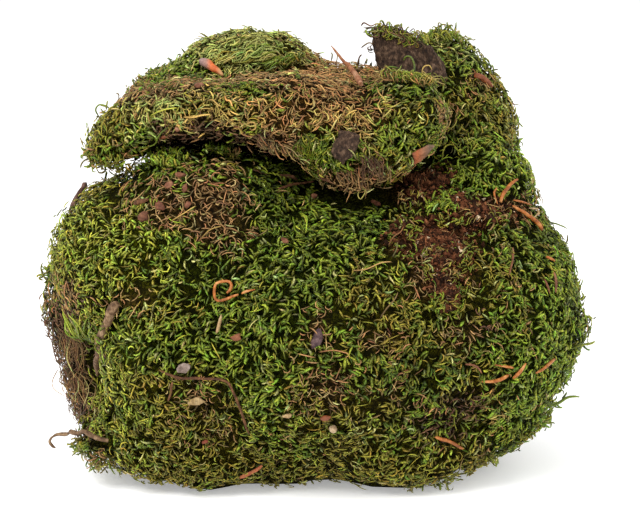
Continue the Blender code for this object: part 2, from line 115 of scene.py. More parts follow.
world = bpy.data.worlds.new("studio")
bpy.context.scene.world = world
world.use_nodes = True
world.node_tree.nodes["Background"].inputs["Color"].default_value = (1, 1, 1, 1)
world.node_tree.nodes["Background"].inputs["Strength"].default_value = WORLD_LIGHT
for name, place, size, power in LAMPS:
    lamp = bpy.data.objects.new(name, bpy.data.lights.new(name, "AREA"))
    lamp.data.size, lamp.data.energy = size, power
    lamp.location = place
    lamp.rotation_euler = (Vector(AIM) - Vector(place)).to_track_quat("-Z", "Y").to_euler()
    bpy.context.scene.collection.objects.link(lamp)
bpy.context.scene.view_settings.view_transform = "Standard"
print("lamps", [lamp[0] for lamp in LAMPS])

# %% [markdown]
# ## Noise and colour
# Nothing that grew is even, so most values below are shifted by noise: a random number at each corner of a grid
# of cubes, blended smoothly between the corners. Colours are written as the eye reads them from a screen, and
# turned into amounts of light before they are mixed.

# %% Noise in space, and colours in light
HASH = (73856093, 19349663, 83492791, 2654435761, 1274126177)


def corner_value(cell, seed):
    """A number from 0 to 1 for each cube corner: its whole coordinates times primes, folded together by xor."""
    c = cell.astype(np.int64)
    h = (c[..., 0] * HASH[0]) ^ (c[..., 1] * HASH[1]) ^ (c[..., 2] * HASH[2]) ^ (seed * HASH[3])
    h = ((h & 0xFFFFFFFF) ^ ((h >> 13) & 0x7FFFF)) * HASH[4] & 0xFFFFFFFF
    return ((h ^ (h >> 16)) & 0xFFFF) / 65535.0


def noise(points, size, seed):
    """Smooth noise from 0 to 1: the eight corners of the cube of that size round a point, weighted by closeness."""
    scaled = points / size + 1000.0
    low = np.floor(scaled)
    part = scaled - low
    part = part * part * (3 - 2 * part)
    total = np.zeros(len(points))
    for corner in np.ndindex(2, 2, 2):
        weight = np.prod(np.where(np.array(corner) == 1, part, 1 - part), axis=1)
        total += weight * corner_value(low + corner, seed)
    return total


def light(red, green, blue):
    """Screen values from 0 to 255 as amounts of light from 0 to 1, by the standard screen curve."""
    v = np.array((red, green, blue)) / 255.0
    return np.where(v <= 0.04045, v / 12.92, ((v + 0.055) / 1.055) ** 2.4)


print("noise at the aim", noise(AIM[None], 10 * MM, 1))

# %% [markdown]
# ## The ground that the moss grows on
# The frame's two moss solids reach to the tips of the shoots, so they are the map on which everything is placed.
# Their flat facets would show, so each triangle is split in four and its new corners are drawn onto the curved
# surface that the corner normals describe.

# %% Read the moss solids as smooth surfaces
def unit(v):
    return v / np.maximum(np.linalg.norm(v, axis=-1, keepdims=True), 1e-12)


def corner_normals(points, faces):
    """Each point's normal: the sum of the cross products of the edges of the triangles round it."""
    a, b, c = (points[faces[:, k]] for k in range(3))
    across = np.cross(b - a, c - a)
    total = np.zeros_like(points)
    for k in range(3):
        np.add.at(total, faces[:, k], across)
    return unit(total)


def welded(node):
    """A node's loose triangles with the corners that share a place made one."""
    mesh = NODES[node].data
    co = np.empty(len(mesh.vertices) * 3)
    mesh.vertices.foreach_get("co", co)
    mesh.calc_loop_triangles()
    tri = np.empty(len(mesh.loop_triangles) * 3, np.int64)
    mesh.loop_triangles.foreach_get("vertices", tri)
    keys, first, same = np.unique(np.round(co.reshape(-1, 3) / (0.002 * MM)), axis=0, return_index=True,
                                  return_inverse=True)
    faces = same.reshape(-1)[tri].reshape(-1, 3)
    faces = faces[(faces[:, 0] != faces[:, 1]) & (faces[:, 1] != faces[:, 2]) & (faces[:, 2] != faces[:, 0])]
    return co.reshape(-1, 3)[first], faces


def refined(points, faces, roundness=0.7):
    """Four triangles for each one: an edge's middle is moved onto the mean of its ends' tangent planes."""
    normals = corner_normals(points, faces)
    edges = np.sort(np.concatenate((faces[:, (0, 1)], faces[:, (1, 2)], faces[:, (2, 0)])), axis=1)
    unique, where = np.unique(edges, axis=0, return_inverse=True)
    where = where.reshape(-1) + len(points)
    ends, turned = points[unique], normals[unique]
    middle = ends.mean(1)
    drop = ((middle[:, None] - ends) * turned).sum(2, keepdims=True) * turned
    middle = middle - roundness * drop.mean(1)
    count = len(faces)
    ab, bc, ca = where[:count], where[count:2 * count], where[2 * count:]
    a, b, c = faces.T
    new = np.concatenate([np.stack(t, 1) for t in ((a, ab, ca), (ab, b, bc), (ca, bc, c), (ab, bc, ca))])
    return np.concatenate((points, middle)), new


GROUND = {}
for node in ("moss_cushion", "moss_flap"):
    once = refined(*welded(node))
    twice = refined(*once)
    GROUND[node] = {"once": once, "points": twice[0], "faces": twice[1], "normals": corner_normals(*twice),
                    "tree": BVHTree.FromPolygons(twice[0].tolist(), twice[1].tolist())}
    print(node, "triangles", len(twice[1]))


def sight_line(px, py):
    """The way from the eye through a pixel, as long as makes its depth along the view one metre."""
    across, up = (px - MIDDLE[0]) * PIXEL, (MIDDLE[1] - py) * PIXEL
    return AHEAD + (np.array((across, 0, 0)) + UP * up) / EYE_DISTANCE


SLAB = welded("bark_slab")
CATCHES = [g["tree"] for g in GROUND.values()] + [BVHTree.FromPolygons(SLAB[0].tolist(), SLAB[1].tolist())]


def on_moss(way):
    """How deep along a sight line moss or the bark slab is met, and the surface's normal there; nothing where both
    are missed."""
    ray = Vector(way).normalized()
    hits = [tree.ray_cast(Vector(EYE), ray) for tree in CATCHES]
    hits = [h for h in hits if h[0] is not None]
    if not hits:
        return None
    place, normal = min(hits, key=lambda h: h[3])[:2]
    return (np.array(place) - EYE) @ AHEAD, np.array(normal)


# %% [markdown]
# ## What grows where
# A moss mat isn't one green. New growth in the light is lime, the sheltered middle is deep green, the foot is
# olive, and where the mat was torn or lay under leaves the stems are dead and golden brown. Each kind below has
# the colour of its tips and of its body, how much of it is leafy and how much dead stems, and how its shoots
# stand. The patches say which kind was seen where, as rounds on the photograph's frame; the far side, which
# nobody photographed, gets the same kinds in the same shares by noise.

# %% Kinds of growth
# kind: tip colour, body colour, leafy share, stem share, length, width in mm, first and last rise in degrees
KINDS = {
    "lime": ((172, 178, 62), (92, 98, 6), 1.0, 0.10, (3.6, 7.9), 1.33, (66, 6)),
    "vivid": ((144, 162, 46), (66, 80, 2), 1.0, 0.05, (3.6, 7.9), 1.52, (60, -4)),
    "green": ((128, 144, 38), (54, 64, 1), 1.0, 0.08, (4.0, 8.4), 1.57, (55, -10)),
    "deep": ((106, 122, 28), (40, 50, 1), 1.0, 0.08, (3.6, 7.5), 1.52, (55, -12)),
    "olive": ((150, 142, 50), (80, 72, 6), 0.95, 0.3, (3.6, 7.5), 1.23, (50, -10)),
    "hill": ((190, 192, 104), (102, 100, 18), 1.0, 0.2, (5.4, 9.7), 1.28, (40, -16)),
    "golden": ((196, 168, 92), (120, 92, 26), 0.6, 0.9, (4.5, 7.9), 1.00, (50, -10)),
    "straw": ((168, 128, 78), (92, 62, 24), 0.25, 1.5, (4.5, 7.0), 0.85, (50, -10)),
    "brown": ((158, 124, 78), (88, 62, 30), 0.4, 1.5, (3.6, 7.0), 0.85, (45, -10)),
    "umber": ((110, 80, 54), (54, 36, 18), 0.5, 1.2, (3.6, 6.2), 0.85, (35, -15)),
    "soil": ((118, 76, 48), (104, 60, 36), 0.05, 0.10, (2.7, 4.4), 0.66, (40, 0)),
    # dark is painted shade: near-black growth put in the deep gap at the flap's right end.
    "dark": ((74, 66, 34), (22, 17, 8), 0.45, 0.25, (3.1, 5.3), 1.04, (35, -15)),
}
NAMES = list(KINDS)

# patch: kind, middle of the round in pixels, its half width and half height, strength
CUSHION_PATCHES = (
    ("lime", 92, 245, 45, 45, 1.3), ("lime", 70, 225, 22, 35, 1.0), ("lime", 125, 262, 45, 28, 0.8),
    ("lime", 108, 385, 22, 48, 1.2), ("lime", 112, 430, 26, 22, 0.8), ("lime", 82, 323, 13, 18, 3.0),
    ("umber", 62, 372, 22, 62, 5.0), ("umber", 70, 410, 18, 30, 4.0), ("brown", 60, 297, 13, 15, 3.0),
    ("umber", 58, 330, 12, 14, 4.0), ("vivid", 175, 155, 70, 13, 2.6), ("vivid", 222, 148, 26, 10, 2.4),
    ("olive", 98, 185, 30, 22, 1.2), ("green", 140, 182, 38, 18, 0.8), ("olive", 60, 275, 14, 22, 1.2),
    ("brown", 160, 198, 34, 22, 2.2), ("brown", 216, 190, 30, 40, 3.2), ("brown", 222, 232, 26, 20, 2.4),
    ("umber", 205, 215, 20, 20, 1.2), ("olive", 235, 160, 25, 12, 1.2), ("deep", 285, 200, 45, 35, 1.2),
    ("vivid", 285, 230, 50, 35, 0.8), ("green", 325, 250, 55, 55, 1.4), ("green", 250, 300, 75, 50, 1.4),
    ("deep", 215, 270, 60, 35, 0.8), ("green", 215, 340, 70, 40, 1.2), ("green", 265, 375, 45, 30, 1.2),
    ("vivid", 262, 412, 34, 24, 1.0), ("olive", 165, 300, 45, 30, 0.8), ("olive", 160, 395, 60, 30, 0.8),
    ("brown", 195, 398, 22, 16, 1.8), ("brown", 125, 300, 26, 12, 1.2), ("olive", 195, 440, 50, 22, 1.4),
    ("brown", 220, 440, 16, 12, 1.4), ("brown", 318, 330, 14, 16, 2.0), ("brown", 318, 392, 24, 20, 1.8),
    ("olive", 300, 415, 34, 24, 1.0), ("brown", 335, 390, 12, 12, 1.8), ("olive", 345, 432, 60, 28, 1.2),
    ("olive", 290, 476, 190, 17, 2.4), ("olive", 180, 466, 80, 18, 1.8), ("lime", 150, 470, 60, 10, 0.8),
    ("olive", 365, 300, 36, 28, 1.4), ("olive", 420, 335, 50, 34, 1.2), ("green", 440, 310, 30, 20, 0.8),
    ("deep", 420, 365, 45, 30, 0.8), ("olive", 470, 275, 30, 38, 1.2), ("brown", 392, 342, 18, 12, 1.6),
    ("brown", 466, 338, 18, 22, 1.2), ("umber", 480, 320, 12, 16, 1.0), ("olive", 465, 380, 40, 20, 1.0),
    ("umber", 470, 405, 26, 14, 1.6), ("umber", 440, 432, 20, 12, 1.6), ("golden", 493, 400, 12, 22, 1.6),
    ("vivid", 562, 300, 24, 70, 2.2), ("vivid", 520, 330, 40, 70, 0.8), ("vivid", 555, 372, 28, 40, 1.8),
    ("vivid", 520, 425, 34, 34, 1.6), ("green", 540, 245, 22, 32, 1.4), ("vivid", 500, 165, 34, 26, 2.2),
    ("vivid", 438, 204, 20, 9, 3.2), ("green", 462, 182, 36, 16, 1.6), ("deep", 372, 212, 30, 24, 1.2),
    ("soil", 432, 233, 34, 14, 6.0), ("soil", 440, 252, 27, 13, 6.0), ("soil", 445, 276, 17, 18, 5.0),
    ("soil", 447, 300, 9, 10, 3.0), ("soil", 424, 181, 25, 15, 5.0), ("soil", 483, 210, 28, 12, 4.0),
    ("brown", 518, 214, 14, 12, 1.6), ("brown", 418, 268, 12, 26, 2.0),
    ("olive", 470, 90, 40, 40, 1.2), ("green", 470, 60, 30, 24, 1.4), ("hill", 450, 42, 26, 14, 1.6),
    ("olive", 505, 120, 20, 34, 1.2), ("green", 480, 120, 26, 16, 0.8), ("brown", 478, 84, 12, 10, 1.4),
    # The dark round at the flap's right end is painted shade in the gap there.
    ("olive", 445, 480, 40, 12, 1.6), ("olive", 70, 445, 26, 10, 1.6), ("dark", 443, 147, 14, 9, 6.0),
)
FLAP_PATCHES = (
    ("hill", 240, 48, 75, 20, 3.0), ("green", 175, 68, 40, 16, 2.4), ("olive", 300, 48, 26, 14, 1.8),
    ("hill", 215, 62, 60, 12, 1.2), ("umber", 295, 38, 20, 10, 1.2), ("brown", 172, 86, 32, 9, 3.4),
    ("brown", 245, 77, 66, 6, 3.4), ("olive", 112, 112, 26, 20, 1.6), ("olive", 100, 142, 20, 24, 2.0),
    ("green", 130, 142, 24, 18, 1.6), ("lime", 98, 138, 8, 22, 1.2), ("hill", 165, 108, 34, 12, 2.0),
    ("golden", 190, 122, 40, 12, 1.6), ("brown", 128, 95, 24, 10, 1.6), ("green", 262, 86, 40, 8, 2.0),
    ("golden", 240, 106, 58, 16, 2.4), ("olive", 225, 100, 50, 16, 1.4), ("straw", 290, 112, 38, 24, 2.6),
    ("straw", 325, 80, 36, 30, 4.4), ("straw", 355, 105, 34, 24, 3.6), ("golden", 330, 126, 34, 13, 2.2),
    ("golden", 365, 120, 20, 14, 1.6), ("olive", 395, 106, 32, 22, 1.8), ("green", 405, 84, 38, 10, 2.4),
    ("green", 432, 100, 24, 30, 2.0), ("olive", 420, 112, 26, 18, 1.4), ("green", 406, 142, 32, 18, 2.4),
    ("olive", 385, 160, 24, 14, 1.8), ("green", 322, 152, 30, 18, 3.4), ("umber", 248, 146, 26, 10, 3.2),
    ("umber", 190, 148, 30, 10, 2.2), ("brown", 285, 158, 34, 12, 3.4), ("straw", 262, 142, 20, 8, 1.8),
    ("brown", 350, 182, 28, 12, 3.2), ("brown", 374, 170, 16, 14, 2.0), ("straw", 380, 66, 20, 10, 2.4),
    ("olive", 366, 62, 8, 12, 1.4), ("umber", 206, 131, 28, 9, 4.0), ("umber", 165, 132, 14, 9, 2.4),
    ("brown", 452, 112, 14, 13, 2.4), ("umber", 370, 168, 11, 14, 2.4), ("brown", 345, 74, 20, 12, 2.4),
)
print("kinds", len(KINDS), "patches", len(CUSHION_PATCHES) + len(FLAP_PATCHES))

# %% Weigh the kinds at any place
REST_SHARES = {
    "moss_cushion": {"lime": 0.6, "vivid": 0.8, "green": 1.5, "deep": 1.1, "olive": 1.2, "brown": 0.32},
    "moss_flap": {"olive": 1.2, "hill": 0.8, "golden": 0.9, "green": 0.7, "straw": 0.5, "brown": 0.4},
}
PATCHES = {"moss_cushion": CUSHION_PATCHES, "moss_flap": FLAP_PATCHES}


def kind_weights(node, points, normals):
    """One row for each place: how much each kind wants it. A patch's pull falls off from its middle as a bell."""
    pixels = seen_at(points)
    facing = np.clip((normals @ -AHEAD + 0.25) / 0.35, 0, 1)
    wander = np.stack((noise(points, 9 * MM, 41), noise(points, 9 * MM, 42)), 1) * 2 - 1
    pixels = pixels + wander * 7
    weights = np.zeros((len(points), len(NAMES)))
    cover = np.zeros(len(points))
    for kind, x, y, half_x, half_y, strength in PATCHES[node]:
        far = ((pixels[:, 0] - x) / half_x) ** 2 + ((pixels[:, 1] - y) / half_y) ** 2
        pull = strength * np.exp(-far ** 1.5) * facing
        weights[:, NAMES.index(kind)] += pull
        cover += pull
    for number, (kind, share) in enumerate(REST_SHARES[node].items()):
        field = noise(points, 24 * MM, 60 + number) * 0.65 + noise(points, 10 * MM, 80 + number) * 0.35
        unseen = 1 - facing if kind in ("brown", "olive", "lime") else 0
        weights[:, NAMES.index(kind)] += (share * np.clip(field * 3.2 - 1.1, 0, 1) ** 2 * (1 + 0.8 * unseen)
                                          / (1 + 3 * cover))
    weights[:, NAMES.index("green" if node == "moss_cushion" else "olive")] += 0.02
    return weights / weights.sum(1, keepdims=True)


def scattered(surface, count, rng):
    """Random places spread evenly over a surface: triangles drawn by area, and a random point in each."""
    points, faces, normals = (surface[k] for k in ("points", "faces", "normals"))
    a, b, c = (points[faces[:, k]] for k in range(3))
    area = np.linalg.norm(np.cross(b - a, c - a), axis=1)
    pick = rng.choice(len(area), count, p=area / area.sum())
    u, v = rng.random((2, count))
    u, v = np.where(u + v > 1, 1 - u, u), np.where(u + v > 1, 1 - v, v)
    share = np.stack((1 - u - v, u, v), 1)[..., None]
    return (points[faces[pick]] * share).sum(1), unit((normals[faces[pick]] * share).sum(1)), area.sum() / 2


# %% [markdown]
# ## How free a place is
# The mats press on each other where they meet, and the cushion is pressed flat by its own weight underneath.
# Nothing stands up there. A grid of small cubes remembers where the other mat's surface runs, and a place
# whose next few millimetres outward are taken is closed.

# %% Find the closed places
CUBE = 3.0 * MM


def cube_keys(points):
    c = np.floor(points / CUBE).astype(np.int64) + 512
    return (c[:, 0] << 20) | (c[:, 1] << 10) | c[:, 2]


SURFACE_CUBES = {}
for node in GROUND:
    spread = scattered(GROUND[node], 160000, np.random.default_rng(5))[0]
    SURFACE_CUBES[node] = np.unique(cube_keys(spread))


def openness(node, points, normals):
    """From 0, closed, to 1, open: how far one can go outward before a cube that holds the other mat's surface."""
    other = [n for n in GROUND if n != node][0]
    free = np.ones(len(points))
    for reach, value in ((9, 0.8), (6, 0.5), (3, 0.0)):
        taken = np.isin(cube_keys(points + normals * reach * MM), SURFACE_CUBES[other])
        free = np.where(taken, value, free)
    return free


# %% [markdown]
# ## One shoot
# A moss shoot is a stem wrapped in leaves a millimetre long, and from a step away it reads as a soft curved worm
# with a ribbed skin. It starts down in the felt, climbs out, and lies over. Its path turns steadily in two
# ways, across the surface and from rising to sinking, so a handful of angles describe it. A ring of three
# points is carried along the path and closed to a point at both ends.

# %% Grow closed tubes, all at once
def grown(root, ahead, up, length, width, turn, rise, bumps, flat=0.65):
    """Tubes along paths. The heading at share s is turn times s, the climb goes evenly from rise[0] to rise[1],
    and each step adds length times its direction. bumps gives the half width at each ring, as a share of width."""
    count, rings = len(root), len(bumps)
    steps = rings + 1
    side = np.cross(up, ahead)
    points, ways = [root], []
    for k in range(steps):
        s = (k + 0.5) / steps
        heading, climb = turn * s, rise[0] + (rise[1] - rise[0]) * s
        flat_way = np.cos(heading)[:, None] * ahead + np.sin(heading)[:, None] * side
        way = np.cos(climb)[:, None] * flat_way + np.sin(climb)[:, None] * up
        ways.append(way)
        points.append(points[-1] + way * (length / steps)[:, None])
    corners = [points[0][:, None]]
    for k, bump in enumerate(bumps):
        along = unit(ways[k] + ways[k + 1])
        across = unit(np.cross(along, up))
        over = np.cross(across, along)
        half = (width * bump / 2)[:, None]
        ring = [points[k + 1] + half * (across * math.cos(a) + over * math.sin(a) * flat)
                for a in (math.pi / 2, math.pi * 7 / 6, math.pi * 11 / 6)]
        corners.append(np.stack(ring, 1))
    corners.append(points[-1][:, None])
    corners = np.concatenate(corners, 1)
    share = np.array([0.0] + [(k + 1) / steps for k in range(rings) for _ in range(3)] + [1.0])
    across = np.array([0.0] + [0.0, -1.0, 1.0] * rings + [0.0])
    grow = np.stack((length[:, None] * share / MM, np.broadcast_to(across, (count, len(across))),
                     np.broadcast_to(share, (count, len(share)))), 2)
    return corners, grow


def tube_faces(rings, sides=3):
    """Triangles of one tube: a fan at the root, two to each side of each stretch, and a fan at the tip."""
    ring, side = np.indices((rings - 1, sides)).reshape(2, -1)
    a, b = 1 + ring * sides + side, 1 + ring * sides + (side + 1) % sides
    k = np.arange(sides)
    last = 1 + (rings - 1) * sides
    return np.concatenate([np.stack(np.broadcast_arrays(*t), 1) for t in (
        (0, 1 + (k + 1) % sides, 1 + k), (a, b, b + sides), (a, b + sides, a + sides),
        (last + k, last + (k + 1) % sides, last + sides))])


print("triangles in a shoot", len(tube_faces(3)), "and in a low one", len(tube_faces(2)))

# %% [markdown]
# ## Many tubes into one piece
# A piece with thousands of objects in it would be slow, so all tubes of a region go into one mesh. Each corner
# carries two values for the finish: tint, its colour, and grow, which says how far along and how far round
# the tube it lies.

# %% Put arrays into a mesh
TRIANGLES = {}


def piece(name, corners, faces, material, tint=None, grow=None, smooth=True):
    """A mesh object from arrays: points, triangles, and values for each point, which rides on the clump's body."""
    mesh = bpy.data.meshes.new(name)
    count = len(faces)
    mesh.vertices.add(len(corners))
    mesh.vertices.foreach_set("co", corners.astype(np.float32).ravel())
    mesh.loops.add(count * 3)
    mesh.loops.foreach_set("vertex_index", faces.astype(np.int32).ravel())
    mesh.polygons.add(count)
    mesh.polygons.foreach_set("loop_start", np.arange(0, count * 3, 3, dtype=np.int32))
    if tint is not None:
        values = np.ones((len(corners), 4), np.float32)
        values[:, :3] = tint
        mesh.attributes.new("tint", "FLOAT_COLOR", "POINT").data.foreach_set("color", values.ravel())
    if grow is not None:
        mesh.attributes.new("grow", "FLOAT_VECTOR", "POINT").data.foreach_set(
            "vector", grow.astype(np.float32).ravel())
    mesh.update(calc_edges=True)
    mesh.polygons.foreach_set("use_smooth", np.full(count, smooth))
    mesh.materials.append(material)
    thing = bpy.data.objects.new(name, mesh)
    bpy.context.scene.collection.objects.link(thing)
    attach(thing, "root")
    TRIANGLES[name] = count
    return thing


def tubes_piece(name, corners, grow, tint, material):
    """One piece of many tubes: their faces are the same list, shifted by the number of corners each."""
    corners[..., 2] = np.maximum(corners[..., 2], 0.15 * MM)
    rings = (corners.shape[1] - 2) // 3
    shift = (np.arange(len(corners)) * corners.shape[1])[:, None, None]
    faces = (tube_faces(rings)[None] + shift).reshape(-1, 3)
    return piece(name, corners.reshape(-1, 3), faces, material, tint.reshape(-1, 3), grow.reshape(-1, 3))


# %% [markdown]
# ## Finishes
# All finishes are worked out from the surface itself. One helper builds the usual chain: noise in the object's
# own space picks between two or three colours, and finer noise makes the relief.

# %% Helpers for the finishes
def finish(name, roughness, specular=0.3):
    """A new material with its main shader, and the two calls that the finishes below are built with: node adds a
    node, with values or links for its inputs, and link joins two sockets.
    """
    made = bpy.data.materials.new(name)
    made.use_nodes = True
    tree = made.node_tree
    shader = tree.nodes["Principled BSDF"]
    shader.inputs["Roughness"].default_value = roughness
    shader.inputs["Specular IOR Level"].default_value = specular

    def node(kind, values=None, **settings):
        n = tree.nodes.new(kind)
        for key, value in settings.items():
            setattr(n, key, value)
        for key, value in (values or {}).items():
            if isinstance(value, bpy.types.NodeSocket):
                tree.links.new(value, n.inputs[key])
            else:
                n.inputs[key].default_value = value
        return n

    return made, shader, node, tree.links.new


def rgb(colour):
    return (*light(*colour), 1.0)


def shoot_finish(name, leaf_length, roughness, depth, edge_shade):
    """Leafy skin: the tint, darker in narrow chevrons a leaf apart, where one leaf ends on the next, with a painted
    highlight along the tube's ridge and painted shade towards its edges."""
    made, shader, node, link = finish(name, roughness, 0.25)
    tint = node("ShaderNodeAttribute", attribute_name="tint")
    grow = node("ShaderNodeSeparateXYZ", {0: node("ShaderNodeAttribute", attribute_name="grow").outputs["Vector"]})
    slant = node("ShaderNodeMath", {0: grow.outputs[1]}, operation="ABSOLUTE")
    place = node("ShaderNodeMath", {0: grow.outputs[0], 1: 1.0 / leaf_length}, operation="MULTIPLY")
    both = node("ShaderNodeMath", {0: slant.outputs[0], 1: -0.7, 2: place.outputs[0]}, operation="MULTIPLY_ADD")
    leaf = node("ShaderNodeMath", {0: both.outputs[0], 1: 1.0}, operation="WRAP")
    leaf.inputs[2].default_value = 0.0
    shade = node("ShaderNodeMapRange", {0: leaf.outputs[0], 1: 0.0, 2: 0.6, 3: 1.0 - depth, 4: 1.12})
    # Painted highlight along the top of the tube and painted shade towards its sides.
    ridge_light_edge_shade = node("ShaderNodeMapRange", {0: slant.outputs[0], 1: 0.0, 2: 1.0, 3: 1.3, 4: 1.0 - edge_shade})
    shade = node("ShaderNodeMath", {0: shade.outputs[0], 1: ridge_light_edge_shade.outputs[0]}, operation="MULTIPLY")
    mixed = node("ShaderNodeMix", {0: 1.0, 6: tint.outputs["Color"], 7: shade.outputs[0]}, data_type="RGBA",
                 blend_type="MULTIPLY")
    link(mixed.outputs[2], shader.inputs["Base Color"])
    bump = node("ShaderNodeBump", {"Strength": 0.5, "Distance": 0.0002, "Height": leaf.outputs[0]})
    link(bump.outputs[0], shader.inputs["Normal"])
    return made


def grainy_finish(name, colours, size, roughness, relief, stretch=(1, 1, 1), specular=0.25, shade=0.72):
    """Three colours picked by noise of that size, with relief from finer noise, both stretched along an axis."""
    made, shader, node, link = finish(name, roughness, specular)
    place = node("ShaderNodeTexCoord")
    mapped = node("ShaderNodeMapping", {"Vector": place.outputs["Object"], "Scale": stretch})
    coarse = node("ShaderNodeTexNoise", {"Vector": mapped.outputs[0], "Scale": 1 / size, "Detail": 6.0,
                                         "Roughness": 0.62})
    fine = node("ShaderNodeTexNoise", {"Vector": mapped.outputs[0], "Scale": 4.5 / size, "Detail": 5.0})
    ramp = node("ShaderNodeValToRGB", {"Fac": coarse.outputs[0]})
    while len(ramp.color_ramp.elements) < len(colours):
        ramp.color_ramp.elements.new(0.5)
    for k, colour in enumerate(colours):
        ramp.color_ramp.elements[k].position = 0.32 + 0.36 * k / (len(colours) - 1)
        ramp.color_ramp.elements[k].color = (*light(*colour) * shade, 1.0)
    dim = node("ShaderNodeMapRange", {0: fine.outputs[0], 1: 0.3, 2: 0.7, 3: 0.65, 4: 1.2})
    mixed = node("ShaderNodeMix", {0: 1.0, 6: ramp.outputs[0], 7: dim.outputs[0]}, data_type="RGBA",
                 blend_type="MULTIPLY")
    link(mixed.outputs[2], shader.inputs["Base Color"])
    bump = node("ShaderNodeBump", {"Strength": 0.8, "Distance": relief, "Height": fine.outputs[0]})
    link(bump.outputs[0], shader.inputs["Normal"])
    return made


def banded_finish(name, colours, low, high, roughness):
    """Colours in bands along the object's own X, from low to high, broken up a little by fine noise."""
    made, shader, node, link = finish(name, roughness, 0.3)
    place = node("ShaderNodeTexCoord").outputs["Object"]
    across = node("ShaderNodeSeparateXYZ", {0: place})
    share = node("ShaderNodeMapRange", {0: across.outputs[0], 1: low, 2: high})
    ramp = node("ShaderNodeValToRGB", {"Fac": share.outputs[0]})
    while len(ramp.color_ramp.elements) < len(colours):
        ramp.color_ramp.elements.new(0.5)
    for k, colour in enumerate(colours):
        ramp.color_ramp.elements[k].position = k / (len(colours) - 1)
        ramp.color_ramp.elements[k].color = rgb(colour)
    fine = node("ShaderNodeTexNoise", {"Vector": place, "Scale": 900.0, "Detail": 4.0})
    dim = node("ShaderNodeMapRange", {0: fine.outputs[0], 1: 0.3, 2: 0.7, 3: 0.75, 4: 1.15})
    mixed = node("ShaderNodeMix", {0: 1.0, 6: ramp.outputs[0], 7: dim.outputs[0]}, data_type="RGBA",
                 blend_type="MULTIPLY")
    link(mixed.outputs[2], shader.inputs["Base Color"])
    return made


# The last number sets how dark the painted shade at the tubes' edges is.
LEAFY = shoot_finish("leafy_shoot", 1.3, 0.45, 0.58, 0.5)
STEMMY = shoot_finish("dead_stem", 1.6, 0.6, 0.25, 0.3)
print("finishes", LEAFY.name, STEMMY.name)

# %% [markdown]
# ## The felt
# Below the living tips is a dark mat of older stems and soil. It shows as near black between the shoots and as
# brown where they are thin, so it is the moss solid drawn in by the length of a shoot, with its own tint from
# the same map of kinds, mostly darker than their bodies: partly the old stems, partly painted shade between the
# shoots. It is lumpy, and its finish breaks it into leafy crumbs with painted shade in the cracks between them,
# because a smooth patch of it would look like bare paint.

# %% Make the felt under the shoots
FELT_DEPTH = {"moss_cushion": 4.8 * MM, "moss_flap": 3.8 * MM}
FELT_RAISED = {"soil": 3.6, "brown": 1.8, "umber": 1.2, "straw": 1.6, "golden": 0.8}
# How far the felt's tint is darkened from the kind's body colour: partly the old stems, partly painted shade between
# the shoots.
FELT_SHADE = {"soil": 1.0, "brown": 0.75, "umber": 0.8, "straw": 0.75, "golden": 0.5}
FOOT_DRAWN_IN = 4.5 * MM
CRUMB = 1.7 * MM
HAIR = 0.7 * MM


def felt_finish():
    """Crumbs are the cells nearest to scattered points, in a space bent by noise. A cell's colour falls from its
    middle to its edge, as painted shade in the cracks, and finer noise breaks it up again."""
    made, shader, node, link = finish("old_felt", 0.9, 0.05)
    tint = node("ShaderNodeAttribute", attribute_name="tint")
    place = node("ShaderNodeTexCoord").outputs["Object"]
    bend = node("ShaderNodeTexNoise", {"Vector": place, "Scale": 0.5 / CRUMB, "Detail": 2.0})
    bent = node("ShaderNodeVectorMath", {0: bend.outputs["Color"], 1: (CRUMB * 2,) * 3, 2: place},
                operation="MULTIPLY_ADD")
    cell = node("ShaderNodeTexVoronoi", {"Vector": bent.outputs[0], "Scale": 1 / CRUMB})
    hair = node("ShaderNodeTexNoise", {"Vector": place, "Scale": 1 / HAIR, "Detail": 4.0, "Distortion": 2.0})
    # Dark at the cells' edges: painted shade in the cracks between crumbs.
    crumb = node("ShaderNodeMapRange", {0: cell.outputs["Distance"], 1: 0.1, 2: 0.65, 3: 1.9, 4: 0.12})
    fine = node("ShaderNodeMapRange", {0: hair.outputs[0], 1: 0.35, 2: 0.65, 3: 0.4, 4: 1.6})
    shade = node("ShaderNodeMath", {0: crumb.outputs[0], 1: fine.outputs[0]}, operation="MULTIPLY")
    mixed = node("ShaderNodeMix", {0: 1.0, 6: tint.outputs["Color"], 7: shade.outputs[0]}, data_type="RGBA",
                 blend_type="MULTIPLY")
    link(mixed.outputs[2], shader.inputs["Base Color"])
    bump = node("ShaderNodeBump", {"Strength": 1.0, "Distance": 0.001, "Height": shade.outputs[0]})
    link(bump.outputs[0], shader.inputs["Normal"])
    return made


FELT = felt_finish()
BODY = np.array([light(*KINDS[k][1]) for k in NAMES])
TIP = np.array([light(*KINDS[k][0]) for k in NAMES])
for node in GROUND:
    points, faces = GROUND[node]["once"]
    normals = corner_normals(points, faces)
    weights = kind_weights(node, points, normals)
    shade = np.array([FELT_SHADE.get(k, 0.8) for k in NAMES])
    tint = (weights[..., None] * (BODY * shade[:, None])[None]).sum(1)
    raised = weights @ np.array([FELT_RAISED.get(k, 0.0) for k in NAMES]) * MM
    soft = (noise(points, 6 * MM, 15) - 0.5) * 3.0 * MM + (noise(points, 3 * MM, 16) - 0.5) * 1.6 * MM
    lift = points[:, 2] < 1.0 * MM
    depth = np.where(lift, 0.0, np.maximum(FELT_DEPTH[node] + soft - raised, 0.2 * MM))
    outward = unit(points * (1, 1, 0)) * np.where(lift, FOOT_DRAWN_IN, 0.0)[:, None]
    drawn = points - normals * depth[:, None] - outward
    drawn[:, 2] = np.maximum(drawn[:, 2], 0.0)
    felt = piece(node.replace("moss_", "felt_"), drawn, faces, FELT,
                 tint)
    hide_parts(node)
    print(felt.name, "triangles", len(faces))

# %% [markdown]
# ## Litter stays in sight
# Needles, scraps and flakes lie on the tips, so few shoots may stand in front of them. Seen from the eye, the pixels
# that each piece of litter covers are noted with its least depth, and later most tubes that pass through such a
# pixel nearer to the eye are left out. A few stay, because a shoot here and there does lean over a needle.

